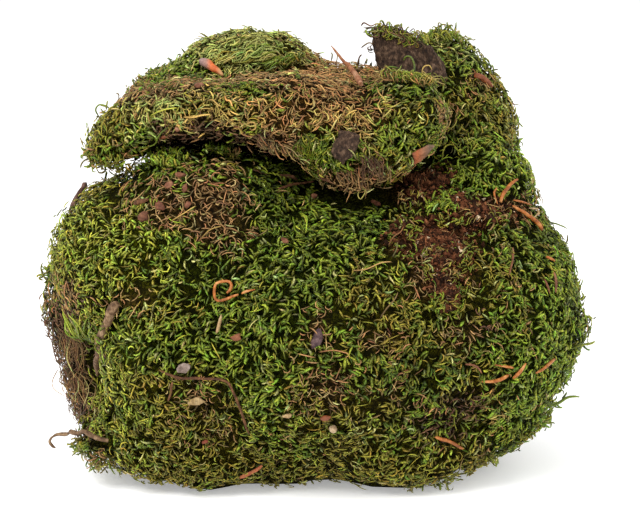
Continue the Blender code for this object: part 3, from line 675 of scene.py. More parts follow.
# %% Note the pixels that litter covers
CLEARED = 0.86
LITTER_DEPTH = {}
for node in NODES:
    if node in GROUND or node.startswith("soil") or node in ("stem_left", "bark_slab", "bark_chip"):
        continue
    points, faces = welded(node)
    spots = scattered({"points": points, "faces": faces, "normals": corner_normals(points, faces)}, 1600,
                      np.random.default_rng(3))[0]
    for (px, py), depth in zip(np.floor(seen_at(spots)).astype(int).tolist(), ((spots - EYE) @ AHEAD).tolist()):
        LITTER_DEPTH[px, py] = min(depth, LITTER_DEPTH.get((px, py), 9.0))
LITTER_KEYS = np.array(sorted(px * 4096 + py for px, py in LITTER_DEPTH))
LITTER_NEAR = np.array([LITTER_DEPTH[divmod(int(key), 4096)] for key in LITTER_KEYS])


def before_litter(corners):
    """Which tubes pass in front of litter: any point of the line through their rings is nearer in its pixel."""
    rings = corners[:, 1:-1].reshape(len(corners), -1, 3, 3).mean(2)
    line = np.concatenate((corners[:, :1], rings, corners[:, -1:]), 1)
    line = np.concatenate([line[:, :-1] + (line[:, 1:] - line[:, :-1]) * s for s in (0.0, 0.33, 0.67)]
                          + [line[:, -1:]], 1)
    count = line.shape[1]
    line = line.reshape(-1, 3)
    key = np.floor(seen_at(line)).astype(int) @ np.array((4096, 1))
    where = np.searchsorted(LITTER_KEYS, key).clip(0, len(LITTER_KEYS) - 1)
    nearer = (LITTER_KEYS[where] == key) & ((line - EYE) @ AHEAD < LITTER_NEAR[where] + 0.3 * MM)
    return nearer.reshape(-1, count).any(1)


print("littered pixels", len(LITTER_KEYS))

# %% [markdown]
# ## The living shoots
# Thousands of places are drawn on each mat, a kind is drawn for each from the weights, and places are thinned
# by the kind's share, where they are closed, on the side turned away and underneath. Neighbours lean much
# the same way, because they grew to the same light, so the lean comes from slow noise with some of its own for
# each shoot.

# %% Draw the places and the kinds
SHOOTS = {"moss_cushion": 16800, "moss_flap": 7600}
UNDER = {"moss_cushion": 9500, "moss_flap": 3700}
LEAFY_SHARE = np.array([KINDS[k][2] for k in NAMES])
STEM_SHARE = np.array([KINDS[k][3] for k in NAMES])
LENGTHS = np.array([KINDS[k][4] for k in NAMES]) * MM
WIDTHS = np.array([KINDS[k][5] for k in NAMES]) * MM
RISES = np.radians(np.array([KINDS[k][6] for k in NAMES], float))


def chosen(weights, rng):
    """A kind for each row, drawn by its weights: where a random number falls among their running sums."""
    return (weights.cumsum(1) < rng.random(len(weights))[:, None] * weights.sum(1)[:, None]).sum(1).clip(
        0, len(NAMES) - 1)


def places(node, count, shares, seed, back=0.6, draws=3):
    """Places for growth: drawn evenly, thinned by the kind's share, by openness and on the side turned away."""
    rng = np.random.default_rng(seed)
    points, normals, area = scattered(GROUND[node], count * draws, rng)
    kind = chosen(kind_weights(node, points, normals), rng)
    keep = shares[kind] * openness(node, points, normals)
    keep *= np.where((normals @ -AHEAD > -0.1) & (normals[:, 2] > -0.8), 1.0, back)
    keep *= np.where((points[:, 2] < 1.5 * MM) & (normals[:, 2] < -0.85), 0.0, 1.0)
    taken = np.flatnonzero(rng.random(len(points)) < keep)[:count]
    print(node, "area in cm2", round(area * 1e4), "kept", len(taken), "of", len(points))
    return points[taken], normals[taken], kind[taken], rng


def leaning(points, normals, rng, size, spread):
    """A direction along the surface: downhill, turned by slow noise, and by a random angle of its own."""
    down = np.array((0.0, -0.25, -1.0)) - normals * (normals @ np.array((0.0, -0.25, -1.0)))[:, None]
    down = unit(down + 1e-6)
    side = np.cross(normals, down)
    angle = (noise(points, size, 7) - 0.5) * 12 + rng.normal(0, spread, len(points))
    return np.cos(angle)[:, None] * down + np.sin(angle)[:, None] * side


def turned(ahead, up, angle):
    return np.cos(angle)[:, None] * ahead + np.sin(angle)[:, None] * np.cross(up, ahead)


# A pale yellow mixed into a few tips: a painted highlight that stands for glints on wet leaf tips.
PAINTED_GLINT_TIP = light(206, 204, 132)
PAINTED_GLINT_SHARE = 0.05


def tinted(kind, share, rng, count, deep=None):
    """Colours along the tubes: dark at the root, partly older leaves and partly painted shade down in the mat, the
    body's in the middle and the tip's at the end. A few tips are mixed towards a pale yellow, a painted highlight
    that stands for glints on wet leaf tips. Where deep is given, sunk shoots are darkened as painted shade."""
    own = np.exp(rng.normal(0.0, 0.28, (count, 1, 1))).clip(0.45, 1.7)
    warm = rng.normal(0.0, 0.11, (count, 1))
    s = share[..., None]
    glint = (rng.random((count, 1, 1)) < PAINTED_GLINT_SHARE) * 0.7
    tip = TIP[kind][:, None] * (1 - glint) + PAINTED_GLINT_TIP * glint
    tint = BODY[kind][:, None] * (1 - s) + tip * s
    # Darker towards the root: partly older leaves, partly painted shade down among the shoots.
    tint = tint * (0.3 + 0.78 * np.minimum(1, s * 1.8)) * own
    # Shoots sunk deeper into the mat are darkened: painted shade.
    if deep is not None:
        tint = tint * (1 - 0.45 * deep)[:, None, None]
    tint[..., 0] *= 1 + warm
    tint[..., 1] *= 1 - warm * 0.4
    return tint


FAN = 4
COMB = 9
COMB_SHARE = 0.07
STRAY_SHARE = 0.02
STRAY_RISE = 0.5
STRAY_LIFT = 0.8 * MM


def fans(points, normals, kind, rng):
    """A tuft: a few shoots side by side that spread a little, as they do where one old stem forked."""
    n = len(points)
    ahead = leaning(points, normals, rng, 9 * MM, 0.7)
    beside = np.arange(FAN) - (FAN - 1) / 2
    spread = rng.normal(0.1, 0.3, (n, 1)) * beside + rng.normal(0, 0.3, (n, FAN))
    offset = beside * rng.uniform(0.9, 1.9, (n, 1)) * MM + rng.normal(0, 0.4 * MM, (n, FAN))
    start = rng.normal(0, 2.0 * MM, (n, FAN))
    side = np.cross(normals, ahead)
    root = points[:, None] + side[:, None] * offset[..., None] + ahead[:, None] * start[..., None]
    again = lambda v: np.repeat(v, FAN, 0)
    kinds = again(kind)
    length = LENGTHS[kinds, 0] + rng.random(n * FAN) ** 1.3 * (LENGTHS[kinds, 1] - LENGTHS[kinds, 0])
    turn = np.repeat(rng.normal(0, 1.1, n), FAN) + rng.normal(0, 0.9, n * FAN)
    rise = RISES[kinds].T + np.repeat(rng.normal(0, 0.2, (2, n)), FAN, 1) + rng.normal(0, 0.2, (2, n * FAN))
    width = WIDTHS[kinds] * rng.normal(0.95, 0.2, n * FAN).clip(0.55, 1.35)
    ups = again(normals)
    return root.reshape(-1, 3), turned(again(ahead), ups, spread.ravel()), ups, length, width, turn, rise, kinds


def combs(points, normals, kind, rng):
    """A frond: a main shoot, the first of each, with shorter ones leaving it left and right like a feather's."""
    n = len(points)
    ahead = leaning(points, normals, rng, 9 * MM, 0.6)
    main = rng.uniform(8, 13, n) * MM
    at = np.linspace(0.0, 0.85, COMB)[None] * main[:, None]
    at[:, 0] = 0
    hand = np.where(np.arange(COMB) % 2 == 0, 1.0, -1.0)
    hand[0] = 0.0
    angle = hand * rng.uniform(0.75, 1.1, (n, 1)) + rng.normal(0, 0.12, (n, COMB))
    root = points[:, None] + ahead[:, None] * at[..., None] + normals[:, None] * (hand ** 2)[None, :, None] * MM
    length = rng.uniform(2.8, 4.6, (n, COMB)) * MM * (1 - 0.35 * at / main[:, None])
    length[:, 0] = main * 1.15
    again = lambda v: np.repeat(v, COMB, 0)
    kinds = again(kind)
    ups = again(normals)
    rise = np.tile(np.array((0.35, -0.35))[:, None], (1, n * COMB)) + rng.normal(0, 0.12, (2, n * COMB))
    width = WIDTHS[kinds] * rng.uniform(0.6, 0.85, n * COMB)
    turn = (-hand * 0.5 + rng.normal(0, 0.2, (n, COMB))).ravel()
    return (root.reshape(-1, 3), turned(again(ahead), ups, angle.ravel()), ups, length.ravel(), width, turn,
            rise, kinds)


def shoots(node, count, seed, bumps=(0.85, 1.0, 0.8), under=0.0):
    """The mat's tufts and fronds. A slow swell of the ground lifts some and sinks others, and the sunk ones are
    darkened as painted shade. With under set, they are the lower storey: that deep, darkened by UNDER_SHADE as
    painted shade, and with no fronds."""
    points, normals, kind, rng = places(node, count // FAN, LEAFY_SHARE, seed)
    comb = rng.random(len(points)) < COMB_SHARE * LEAFY_SHARE[kind] ** 3 * (under == 0)
    groups = [make(points[mask], normals[mask], kind[mask], rng) for make, mask in ((fans, ~comb), (combs, comb))]
    root, ahead, up, length, width, turn, rise, kinds = (
        np.concatenate([g[k] for g in groups], 1 if k == 6 else 0) for k in range(8))
    n = len(root)
    climb = length * (np.sin(rise[0]) + 2 * np.sin((rise[0] + rise[1]) / 2)).clip(0.2, 3) / 4
    deep = noise(root, 6 * MM, 15) * 0.6 + rng.random(n) ** 1.5 * 0.4
    stray = (rng.random(n) < STRAY_SHARE) & (under == 0)
    rise = rise + stray * STRAY_RISE
    sink = climb + deep * 3.4 * MM - 0.6 * MM + under - stray * STRAY_LIFT
    root = root - up * sink[:, None] - ahead * (length * 0.35)[:, None]
    bumps = (np.array(bumps) * rng.uniform(0.75, 1.2, (n, len(bumps)))).T
    corners, grow = grown(root, ahead, up, length, width, turn, rise, bumps)
    return corners, grow, tinted(kinds, grow[..., 2], rng, n, deep) * (UNDER_SHADE if under else 1.0)


# %% Grow the shoots and split them into pieces
def in_sectors(name, made, parts, material):
    """Splits the tubes that don't hide litter into pieces by their bearing round the clump's upright axis."""
    hiding = before_litter(made[0]) & (np.random.default_rng(9).random(len(made[0])) < CLEARED)
    corners, grow, tint = (values[~hiding] for values in made)
    print(name, "left out before litter", hiding.sum())
    order = np.argsort(np.arctan2(corners[:, -1, 1], corners[:, -1, 0]))
    for number, group in enumerate(np.array_split(order, parts)):
        thing = tubes_piece(f"{name}_{number + 1}", corners[group], grow[group], tint[group], material)
        print(thing.name, "tubes", len(group), "triangles", TRIANGLES[thing.name])


UNDER_DEPTH = 2.0 * MM
# The lower storey's tints are darkened by this much: painted shade under the top shoots.
UNDER_SHADE = 0.75
UNDER_BUMPS = (1.05, 0.95)
for node, parts, slot in (("moss_cushion", 3, "moss_green"), ("moss_flap", 1, "moss_dry")):
    name = node.replace("moss_", "")
    in_sectors(name + "_shoots", shoots(node, SHOOTS[node], 11), parts, LEAFY)
    low = shoots(node, UNDER[node], 17, UNDER_BUMPS, UNDER_DEPTH)
    in_sectors(name + "_undergrowth", low, 1, LEAFY)

# %% [markdown]
# ## The dead stems
# Where leaves fell off, the bare wiry stems stay: thin, long, looped and tangled over each other. They are the
# same tubes with a quarter of the width, twice the length and far more turn, laid almost flat.

# %% Lay the dead stems
STEMS = {"moss_cushion": 4200, "moss_flap": 4600}


def stems(node, count, seed):
    """Dead stems: long thin tubes at any bearing, laid at a random depth of the last two millimetres."""
    points, normals, kind, rng = places(node, count, STEM_SHARE / STEM_SHARE.max(), seed, draws=14)
    n = len(points)
    length = (3.0 + 6.5 * rng.random(n) ** 1.6) * MM
    rise = np.stack((rng.normal(0.25, 0.22, n), rng.normal(-0.35, 0.22, n)))
    ahead = leaning(points, normals, rng, 30 * MM, 1.6)
    root = points - normals * (rng.uniform(-0.2, 2.6, n) * MM)[:, None] - ahead * (length * 0.4)[:, None]
    width = rng.uniform(0.4, 0.85, n) * MM
    corners, grow = grown(root, ahead, normals, length, width, rng.normal(0, 2.4, n), rise,
                          (0.9, 1.0, 0.85), flat=0.9)
    return corners, grow, tinted(kind, 0.35 + 0.65 * grow[..., 2], rng, n)


in_sectors("cushion_stems", stems("moss_cushion", STEMS["moss_cushion"], 21), 1, STEMMY)
in_sectors("flap_stems", stems("moss_flap", STEMS["moss_flap"], 22), 1, STEMMY)

# %% [markdown]
# ## Shoots and stems that stand out
# Some growth can be told one from another: tendrils, a drooping frond, roots that hang from the torn edge, tufts
# on the outline. Each is drawn as a path over the photograph's frame, and falls onto the moss along the
# sight line. Where the moss ends or drops away under it, the path hangs on in the air, as a root does.

# %% Draw a path onto the moss
def smooth_through(points, samples):
    """A curve through the points: each stretch is a cubic that passes its ends along the line between their
    neighbours."""
    p = np.array(points, float)
    p = np.concatenate((2 * p[:1] - p[1:2], p, 2 * p[-1:] - p[-2:-1]))
    at = np.linspace(0, len(points) - 1, samples)
    low = np.minimum(at.astype(int), len(points) - 2)
    t = (at - low)[:, None]
    a, b, c, d = (p[low + k] for k in range(4))
    return 0.5 * (2 * b + (c - a) * t + (2 * a - 5 * b + 4 * c - d) * t**2 + (3 * b - a - 3 * c + d) * t**3)


def fallen(pixels, lift, follow, samples):
    """The path's points in space and the way up at each. From one to the next its depth changes by follow times
    the step at most, and lift raises the middle of it off the moss."""
    seen = smooth_through(pixels, samples)
    step = np.linalg.norm(seen[1] - seen[0]) * PIXEL * follow
    depth, up, places, ups = None, -AHEAD, [], []
    for way in (sight_line(*pixel) for pixel in seen):
        met = on_moss(way)
        if met:
            depth, up = (met[0] if depth is None else np.clip(met[0], depth - step, depth + step)), met[1]
        elif depth is None:
            depth = -EYE @ AHEAD
        places.append(EYE + way * depth)
        ups.append(up)
    rise = lift * np.sin(np.linspace(0, math.pi, samples)) ** 0.5
    return np.array(places) + np.array(ups) * rise[:, None], np.array(ups)


def carried(path, ups, width, end_width, sides=4):
    """A closed tube along the path: a ring at each point but the ends, its half width the mean of the two widths
    there, less towards the ends as on an egg."""
    share = np.linspace(0, 1, len(path))
    half = (width + (end_width - width) * share) / 2 * np.sqrt(np.maximum(1 - (2 * share - 1) ** 6, 0))
    along = unit(np.gradient(path, axis=0))
    across = unit(np.cross(along, ups))
    over = np.cross(across, along)
    angle = math.pi / 2 + np.arange(sides) * math.tau / sides
    ring = (path[1:-1, None] + half[1:-1, None, None] * (across[1:-1, None] * np.cos(angle)[None, :, None]
                                                       + over[1:-1, None] * np.sin(angle)[None, :, None]))
    corners = np.concatenate((path[:1], ring.reshape(-1, 3), path[-1:]))
    length = np.linalg.norm(np.diff(path, axis=0), axis=1).sum() / MM
    spread = np.tile(np.cos(angle), len(path) - 2)
    shares = np.concatenate(((0,), np.repeat(share[1:-1], sides), (1,)))
    grow = np.stack((shares * length, np.concatenate(((0,), spread, (0,))), shares), 1)
    return corners, tube_faces(len(path) - 2, sides), grow


print("a path over the middle ends at", fallen(((300, 250), (320, 250)), MM, 2.0, 5)[0][-1].round(4))

# %% [markdown]
# Strands come one by one. Sheaves are many shoots that start along one line and end along another, and bow on the
# way: a tuft, a frond, the combed growth of the hill.

# %% Strands and sheaves by their places
# strand: kind, widths in mm, lift in mm, how far it follows the moss, pixels
HANG, LIE = 0.25, 2.5
STRANDS = (
    ("umber", 0.9, 0.5, 0.5, LIE, ((361, 26), (364, 23), (371, 26), (377, 23))),
    ("umber", 0.8, 0.6, 0.5, LIE, ((365, 29), (373, 28), (378, 31))),
    ("straw", 0.8, 0.6, 0.6, LIE, ((361, 48), (365, 45), (369, 43), (374, 44))),
    ("umber", 1.3, 0.6, 1.0, LIE, ((358, 66), (359, 60), (362, 55))),
    ("umber", 1.2, 0.6, 1.0, LIE, ((366, 64), (367, 58))),
    ("green", 1.2, 0.8, 1.6, HANG, ((412, 78), (414, 71), (414, 65), (411, 58), (406, 57), (403, 61))),
    ("golden", 0.7, 0.6, 1.4, HANG, ((424, 78), (422, 72), (424, 67), (429, 66), (432, 70))),
    ("golden", 0.7, 0.7, 1.2, LIE, ((425, 77), (435, 81), (446, 86))),
    ("golden", 0.8, 0.6, 1.4, LIE, ((330, 132), (335, 122), (342, 114))),
    ("golden", 0.8, 0.6, 1.2, LIE, ((344, 118), (350, 114), (357, 111))),
    ("golden", 0.8, 0.6, 1.2, LIE, ((381, 119), (387, 115), (392, 109))),
    ("golden", 0.7, 0.6, 1.2, LIE, ((377, 87), (380, 95), (386, 102))),
    ("golden", 0.7, 0.6, 1.0, LIE, ((379, 102), (378, 108), (382, 114))),
    ("lime", 1.1, 0.7, 1.4, LIE, ((333, 146), (338, 142), (345, 141), (352, 145))),
    ("golden", 1.6, 0.9, 1.8, LIE, ((333, 146), (340, 143), (347, 142), (353, 144))),
    ("golden", 0.9, 0.7, 1.0, LIE, ((208, 101), (213, 101), (218, 105), (223, 107))),
    ("golden", 0.9, 0.7, 1.2, LIE, ((225, 96), (227, 101), (231, 102), (233, 107))),
    ("golden", 0.8, 0.6, 1.2, LIE, ((256, 98), (261, 101), (264, 100), (268, 105))),
    ("golden", 0.8, 0.6, 1.4, LIE, ((272, 106), (266, 109), (261, 115), (254, 117))),
    ("golden", 1.0, 0.8, 1.4, LIE, ((246, 127), (249, 122), (255, 122), (256, 127), (251, 130))),
    ("golden", 0.9, 0.8, 1.2, LIE, ((243, 121), (248, 124), (253, 125), (258, 123))),
    ("golden", 1.1, 0.8, 0.8, LIE, ((183, 117), (192, 117), (201, 115), (211, 114))),
    ("lime", 1.0, 0.7, 1.8, LIE, ((169, 126), (162, 131), (156, 140), (147, 146))),
    ("lime", 0.9, 0.6, 1.2, LIE, ((150, 116), (163, 111), (178, 108))),
    ("straw", 0.8, 0.5, 1.2, HANG, ((356, 186), (351, 191), (349, 197), (346, 203))),
    ("golden", 0.7, 0.5, 1.6, HANG, ((360, 184), (365, 189), (365, 196), (361, 202), (358, 197), (360, 190))),
    ("golden", 0.8, 0.6, 1.0, LIE, ((436, 140), (440, 137), (446, 137))),
    ("lime", 1.1, 0.7, 1.4, HANG, ((443, 160), (444, 152), (447, 147), (453, 146), (457, 150), (460, 157))),
    ("lime", 1.1, 0.7, 1.4, HANG, ((456, 147), (462, 142), (468, 141), (473, 143), (476, 148))),
    ("straw", 0.7, 0.5, 1.0, LIE, ((458, 213), (470, 207), (486, 205), (503, 209))),
    ("straw", 0.6, 0.5, 0.8, LIE, ((464, 202), (475, 206), (490, 213))),
    ("straw", 0.7, 0.5, 0.8, LIE, ((388, 246), (393, 238), (400, 233), (404, 226))),
    ("straw", 0.7, 0.5, 1.0, LIE, ((392, 258), (396, 250), (397, 242))),
    ("lime", 1.0, 0.7, 1.6, LIE, ((388, 182), (396, 184), (403, 178), (402, 172))),
    ("golden", 0.7, 0.5, 1.2, LIE, ((383, 190), (389, 184), (397, 181), (403, 183))),
    ("lime", 0.9, 0.6, 1.6, LIE, ((99, 117), (96, 110), (100, 105), (108, 107), (112, 113))),
    ("green", 1.7, 1.0, 0.6, HANG, ((543, 399), (551, 405), (558, 402), (566, 397), (574, 396), (580, 397))),
    ("green", 1.2, 0.7, 0.5, HANG, ((555, 403), (559, 407), (562, 407))),
    ("green", 1.2, 0.7, 0.5, HANG, ((562, 399), (565, 395), (567, 392))),
    ("vivid", 1.6, 0.9, 0.5, HANG, ((574, 347), (584, 344), (590, 343), (595, 341))),
    ("vivid", 1.2, 0.8, 0.5, HANG, ((582, 345), (586, 349), (590, 350))),
    ("olive", 1.1, 0.6, 0.5, HANG, ((50, 283), (45, 277), (42, 269), (43, 262))),
    ("olive", 1.0, 0.6, 0.5, HANG, ((90, 158), (85, 160), (82, 164), (81, 168))),
    ("golden", 0.6, 0.5, 0.8, LIE, ((170, 222), (184, 214), (196, 206))),
    ("golden", 0.6, 0.5, 0.8, LIE, ((200, 240), (210, 230), (222, 226))),
    ("straw", 0.8, 0.5, 1.0, LIE, ((380, 318), (386, 309), (394, 300), (398, 292))),
    ("straw", 0.7, 0.5, 1.0, LIE, ((352, 271), (366, 270), (380, 264), (392, 262))),
    ("straw", 0.7, 0.5, 0.8, LIE, ((318, 352), (334, 350), (350, 354))),
)
# sheaf: kinds, both ends of the line of roots, both ends of the line of tips, bow in pixels, count, width, follow
SHEAVES = (
    ("hill hill olive", (203, 68), (246, 62), (220, 56), (264, 46), 4, 46, 1.3, LIE),
    ("hill hill green", (236, 48), (262, 66), (256, 38), (286, 54), 4, 36, 1.3, LIE),
    ("green olive", (262, 70), (300, 62), (280, 61), (304, 51), 3, 24, 1.3, LIE),
    ("olive umber green", (366, 31), (418, 42), (360, 26), (414, 34), 3, 44, 1.1, HANG),
    ("umber olive", (372, 25), (416, 36), (374, 32), (418, 43), 3, 30, 0.9, LIE),
    ("olive green", (383, 78), (446, 86), (384, 66), (444, 76), 4, 60, 1.1, HANG),
    ("straw golden", (384, 82), (444, 88), (386, 70), (440, 78), 5, 20, 0.7, HANG),
    ("green deep", (300, 134), (328, 138), (308, 158), (322, 162), 6, 14, 1.1, LIE),
    ("olive green umber", (366, 27), (418, 40), (362, 34), (414, 50), 4, 60, 1.1, LIE),
    ("straw olive", (378, 78), (440, 86), (384, 68), (436, 76), 6, 30, 0.8, LIE),
    ("brown umber straw", (258, 136), (286, 145), (270, 150), (296, 160), 4, 40, 0.6, HANG),
    ("straw brown umber", (336, 170), (368, 168), (341, 192), (366, 195), 5, 26, 0.6, HANG),
    ("umber", (360, 156), (380, 158), (362, 174), (382, 182), 4, 24, 0.7, HANG),
    ("olive brown", (320, 58), (340, 62), (320, 51), (341, 54), 3, 20, 1.1, HANG),
    ("green lime", (256, 213), (258, 223), (268, 211), (270, 221), 3, 6, 1.1, LIE),
    ("green lime", (294, 222), (306, 214), (300, 236), (314, 222), 3, 8, 1.1, LIE),
    ("lime vivid green", (78, 338), (97, 343), (63, 313), (90, 308), 5, 34, 1.3, LIE),
    ("umber brown", (56, 330), (80, 334), (62, 366), (84, 374), 9, 50, 0.6, LIE),
    ("umber brown", (60, 366), (86, 372), (70, 404), (90, 410), 9, 44, 0.6, LIE),
    ("olive green", (424, 44), (458, 42), (424, 35), (454, 31), 3, 40, 1.3, HANG),
)
# tuft: kinds, middle and half sizes of where it is rooted in pixels, bearing and spread in degrees from the right,
# anticlockwise, length in pixels, count, width in mm, follow
TUFTS = (
    ("vivid vivid green lime", (169, 161), (21, 8), 80, 50, 9, 90, 1.5, HANG),
    ("vivid green", (216, 150), (13, 6), 80, 50, 8, 36, 1.5, HANG),
    ("golden straw", (234, 153), (8, 5), 60, 60, 8, 14, 0.9, HANG),
    ("olive olive green", (116, 168), (22, 6), 60, 70, 9, 56, 1.3, HANG),
    ("olive brown green", (93, 158), (8, 9), 230, 50, 8, 26, 1.2, HANG),
    ("olive brown", (104, 110), (10, 5), 110, 60, 8, 24, 1.1, HANG),
    ("olive green", (147, 84), (12, 6), 140, 50, 7, 20, 1.2, HANG),
    ("vivid green", (439, 206), (12, 6), 90, 90, 9, 36, 1.5, LIE),
    ("green deep", (472, 194), (14, 5), 20, 60, 9, 26, 1.5, LIE),
    ("green deep olive", (308, 142), (11, 9), 300, 35, 10, 44, 1.2, LIE),
    ("green deep vivid", (324, 150), (10, 9), 255, 40, 9, 40, 1.2, LIE),
    ("olive green", (390, 30), (22, 6), 60, 70, 7, 60, 1.1, LIE),
    ("golden straw", (350, 122), (18, 7), 70, 60, 9, 26, 0.8, LIE),
    ("olive green", (345, 150), (14, 10), 100, 60, 8, 26, 1.1, LIE),
    ("straw brown", (450, 112), (12, 8), 200, 60, 8, 30, 0.7, LIE),
    ("lime vivid", (462, 148), (18, 7), 90, 60, 10, 24, 1.1, HANG),
    ("olive green", (442, 34), (14, 5), 90, 50, 8, 40, 1.3, HANG),
    ("olive green", (426, 39), (6, 4), 110, 50, 7, 20, 1.2, HANG),
    ("olive umber", (370, 52), (5, 6), 130, 60, 9, 22, 1.0, HANG),
    ("umber olive", (364, 60), (5, 7), 120, 60, 9, 22, 1.0, HANG),
    ("umber brown", (72, 344), (10, 16), 0, 180, 9, 40, 0.6, LIE),
    ("umber brown", (76, 384), (10, 20), 0, 180, 9, 44, 0.6, LIE),
    ("green olive", (84, 446), (9, 7), 200, 50, 12, 40, 1.2, HANG),
    ("olive green brown", (99, 461), (12, 6), 215, 50, 11, 50, 1.2, HANG),
    ("green olive lime", (100, 326), (10, 22), 200, 60, 8, 40, 1.2, HANG),
    ("olive green", (410, 232), (6, 14), 20, 60, 9, 22, 1.2, LIE),
    ("olive green", (468, 256), (6, 18), 170, 60, 9, 30, 1.2, LIE),
    ("olive green brown", (424, 268), (5, 14), 10, 60, 9, 22, 1.1, LIE),
    ("olive green", (437, 302), (5, 14), 30, 60, 9, 20, 1.2, LIE),
    ("olive green", (460, 300), (5, 14), 150, 60, 9, 20, 1.2, LIE),
    ("deep olive umber brown", (438, 249), (13, 5), 200, 70, 8, 40, 1.0, LIE),
    ("golden brown olive", (452, 272), (6, 12), 250, 60, 8, 30, 0.8, LIE),
    ("golden straw olive brown", (480, 213), (18, 5), 160, 50, 9, 30, 0.8, LIE),
    ("brown golden olive", (412, 196), (14, 7), 210, 60, 8, 24, 0.7, LIE),
    ("green vivid", (462, 176), (9, 8), 200, 60, 9, 24, 1.3, LIE),
    ("olive green", (452, 224), (16, 5), 90, 70, 8, 26, 1.2, LIE),
    ("olive green brown", (500, 220), (12, 5), 120, 70, 8, 22, 1.1, LIE),
    ("green olive", (448, 250), (20, 12), 90, 150, 6, 24, 1.0, LIE),
    ("umber brown straw", (436, 244), (28, 14), 90, 180, 10, 44, 0.5, LIE),
    ("umber brown straw", (446, 286), (13, 20), 90, 180, 9, 24, 0.5, LIE),
    ("umber brown olive", (484, 208), (24, 9), 20, 60, 10, 30, 0.6, LIE),
    ("umber brown", (424, 180), (20, 9), 90, 180, 8, 20, 0.5, LIE),
    ("vivid green", (541, 417), (9, 6), 320, 60, 9, 26, 1.3, HANG),
    ("green olive", (522, 433), (7, 4), 310, 60, 8, 14, 1.2, HANG),
    ("green olive", (489, 457), (8, 4), 320, 60, 8, 18, 1.2, HANG),
    ("green olive", (444, 481), (7, 4), 300, 60, 7, 12, 1.1, HANG),
    ("olive vivid", (47, 270), (4, 12), 160, 50, 7, 26, 1.2, HANG),
)


def sheaf(a, b, c, d, bow, count, rng):
    """Pixel paths from the line a b towards the line c d: both ends at about the same share of their lines, most of
    them shorter than the way between, and a middle pushed sideways by the bow."""
    share = rng.random((count, 1))
    a, b, c, d = (np.array(p, float) for p in (a, b, c, d))
    start = a + (b - a) * share + rng.normal(0, 1.6, (count, 2))
    end = c + (d - c) * (share + rng.normal(0, 0.2, (count, 1))).clip(0, 1) + rng.normal(0, 2.4, (count, 2))
    end = start + (end - start) * rng.uniform(0.45, 1.1, (count, 1))
    side = (end - start)[:, ::-1] * (1, -1)
    middle = (start + end) / 2 + unit(side) * rng.normal(bow * 0.3, abs(bow) * 0.7 + 0.4, (count, 1))
    return np.stack((start, middle, end), 1)


def tuft(middle, half, bearing, spread, length, count, rng):
    """Pixel paths of short shoots, rooted at random in a round, each with a bearing of its own and a small bend."""
    angle, far = rng.uniform(0, math.tau, count), np.sqrt(rng.random(count))
    start = np.array(middle) + np.stack((np.cos(angle), np.sin(angle)), 1) * far[:, None] * half
    way = np.radians(rng.normal(bearing, spread, count))
    bend = rng.normal(0, 0.5, count)
    reach = (length * rng.uniform(0.5, 1.25, count))[:, None] / 2
    first, second = (np.stack((np.cos(w), -np.sin(w)), 1) for w in (way, way + bend))
    return np.stack((start, start + first * reach, start + (first + second) * reach), 1)


rng = np.random.default_rng(31)
tubes = []
for kind, width, end_width, lift, follow, pixels in STRANDS:
    tubes.append((kind, carried(*fallen(pixels, lift * MM, follow, 5 * len(pixels)), width * MM, end_width * MM)))
groups = [(kinds, sheaf(*lines, rng), width, follow) for kinds, *lines, width, follow in SHEAVES]
groups += [(kinds, tuft(*form, rng), width, follow) for kinds, *form, width, follow in TUFTS]
for kinds, paths, width, follow in groups:
    for path in (p for p in paths if on_moss(sight_line(*p[0]))):
        own = width * rng.uniform(0.6, 1.15) * MM
        strand = carried(*fallen(path, rng.uniform(0.3, 2.2) * MM, follow, 8), own, own * 0.6, 3)
        tubes.append((rng.choice(kinds.split()), strand))
LEAFY_KINDS = ("lime", "vivid", "green", "deep", "olive", "hill")
HAND_LAID_SHADE = 0.8
for name, leafy, material in (("hand_laid_shoots", True, LEAFY), ("hand_laid_stems", False, STEMMY)):
    group = [(kind, tube) for kind, tube in tubes if (kind in LEAFY_KINDS) == leafy]
    shifts = np.cumsum([0] + [len(tube[0]) for _, tube in group[:-1]])
    tint = np.concatenate([tinted(np.array([NAMES.index(kind)]), 0.25 + 0.75 * tube[2][None, :, 2], rng, 1)[0]
                           for kind, tube in group]) * HAND_LAID_SHADE
    corners = np.concatenate([tube[0] for _, tube in group])
    corners[:, 2] = np.maximum(corners[:, 2], 0.3 * MM)
    piece(name, corners,
          np.concatenate([tube[1] + shift for (_, tube), shift in zip(group, shifts)]), material,
          tint, np.concatenate([tube[2] for _, tube in group]))
    print(name, "tubes", len(group), "triangles", TRIANGLES[name])

# %% [markdown]
# ## Bark, wood, needles and soil
# The litter's solids have the right places and outlines but plain faces. Each is replaced by its own surface,
# cut finer and pushed in and out by noise: deep upright fissures in the standing bark, a warp in the flakes,
# a soft grain on needles. The noise is read in a space that is squeezed along the grain, which draws it out.

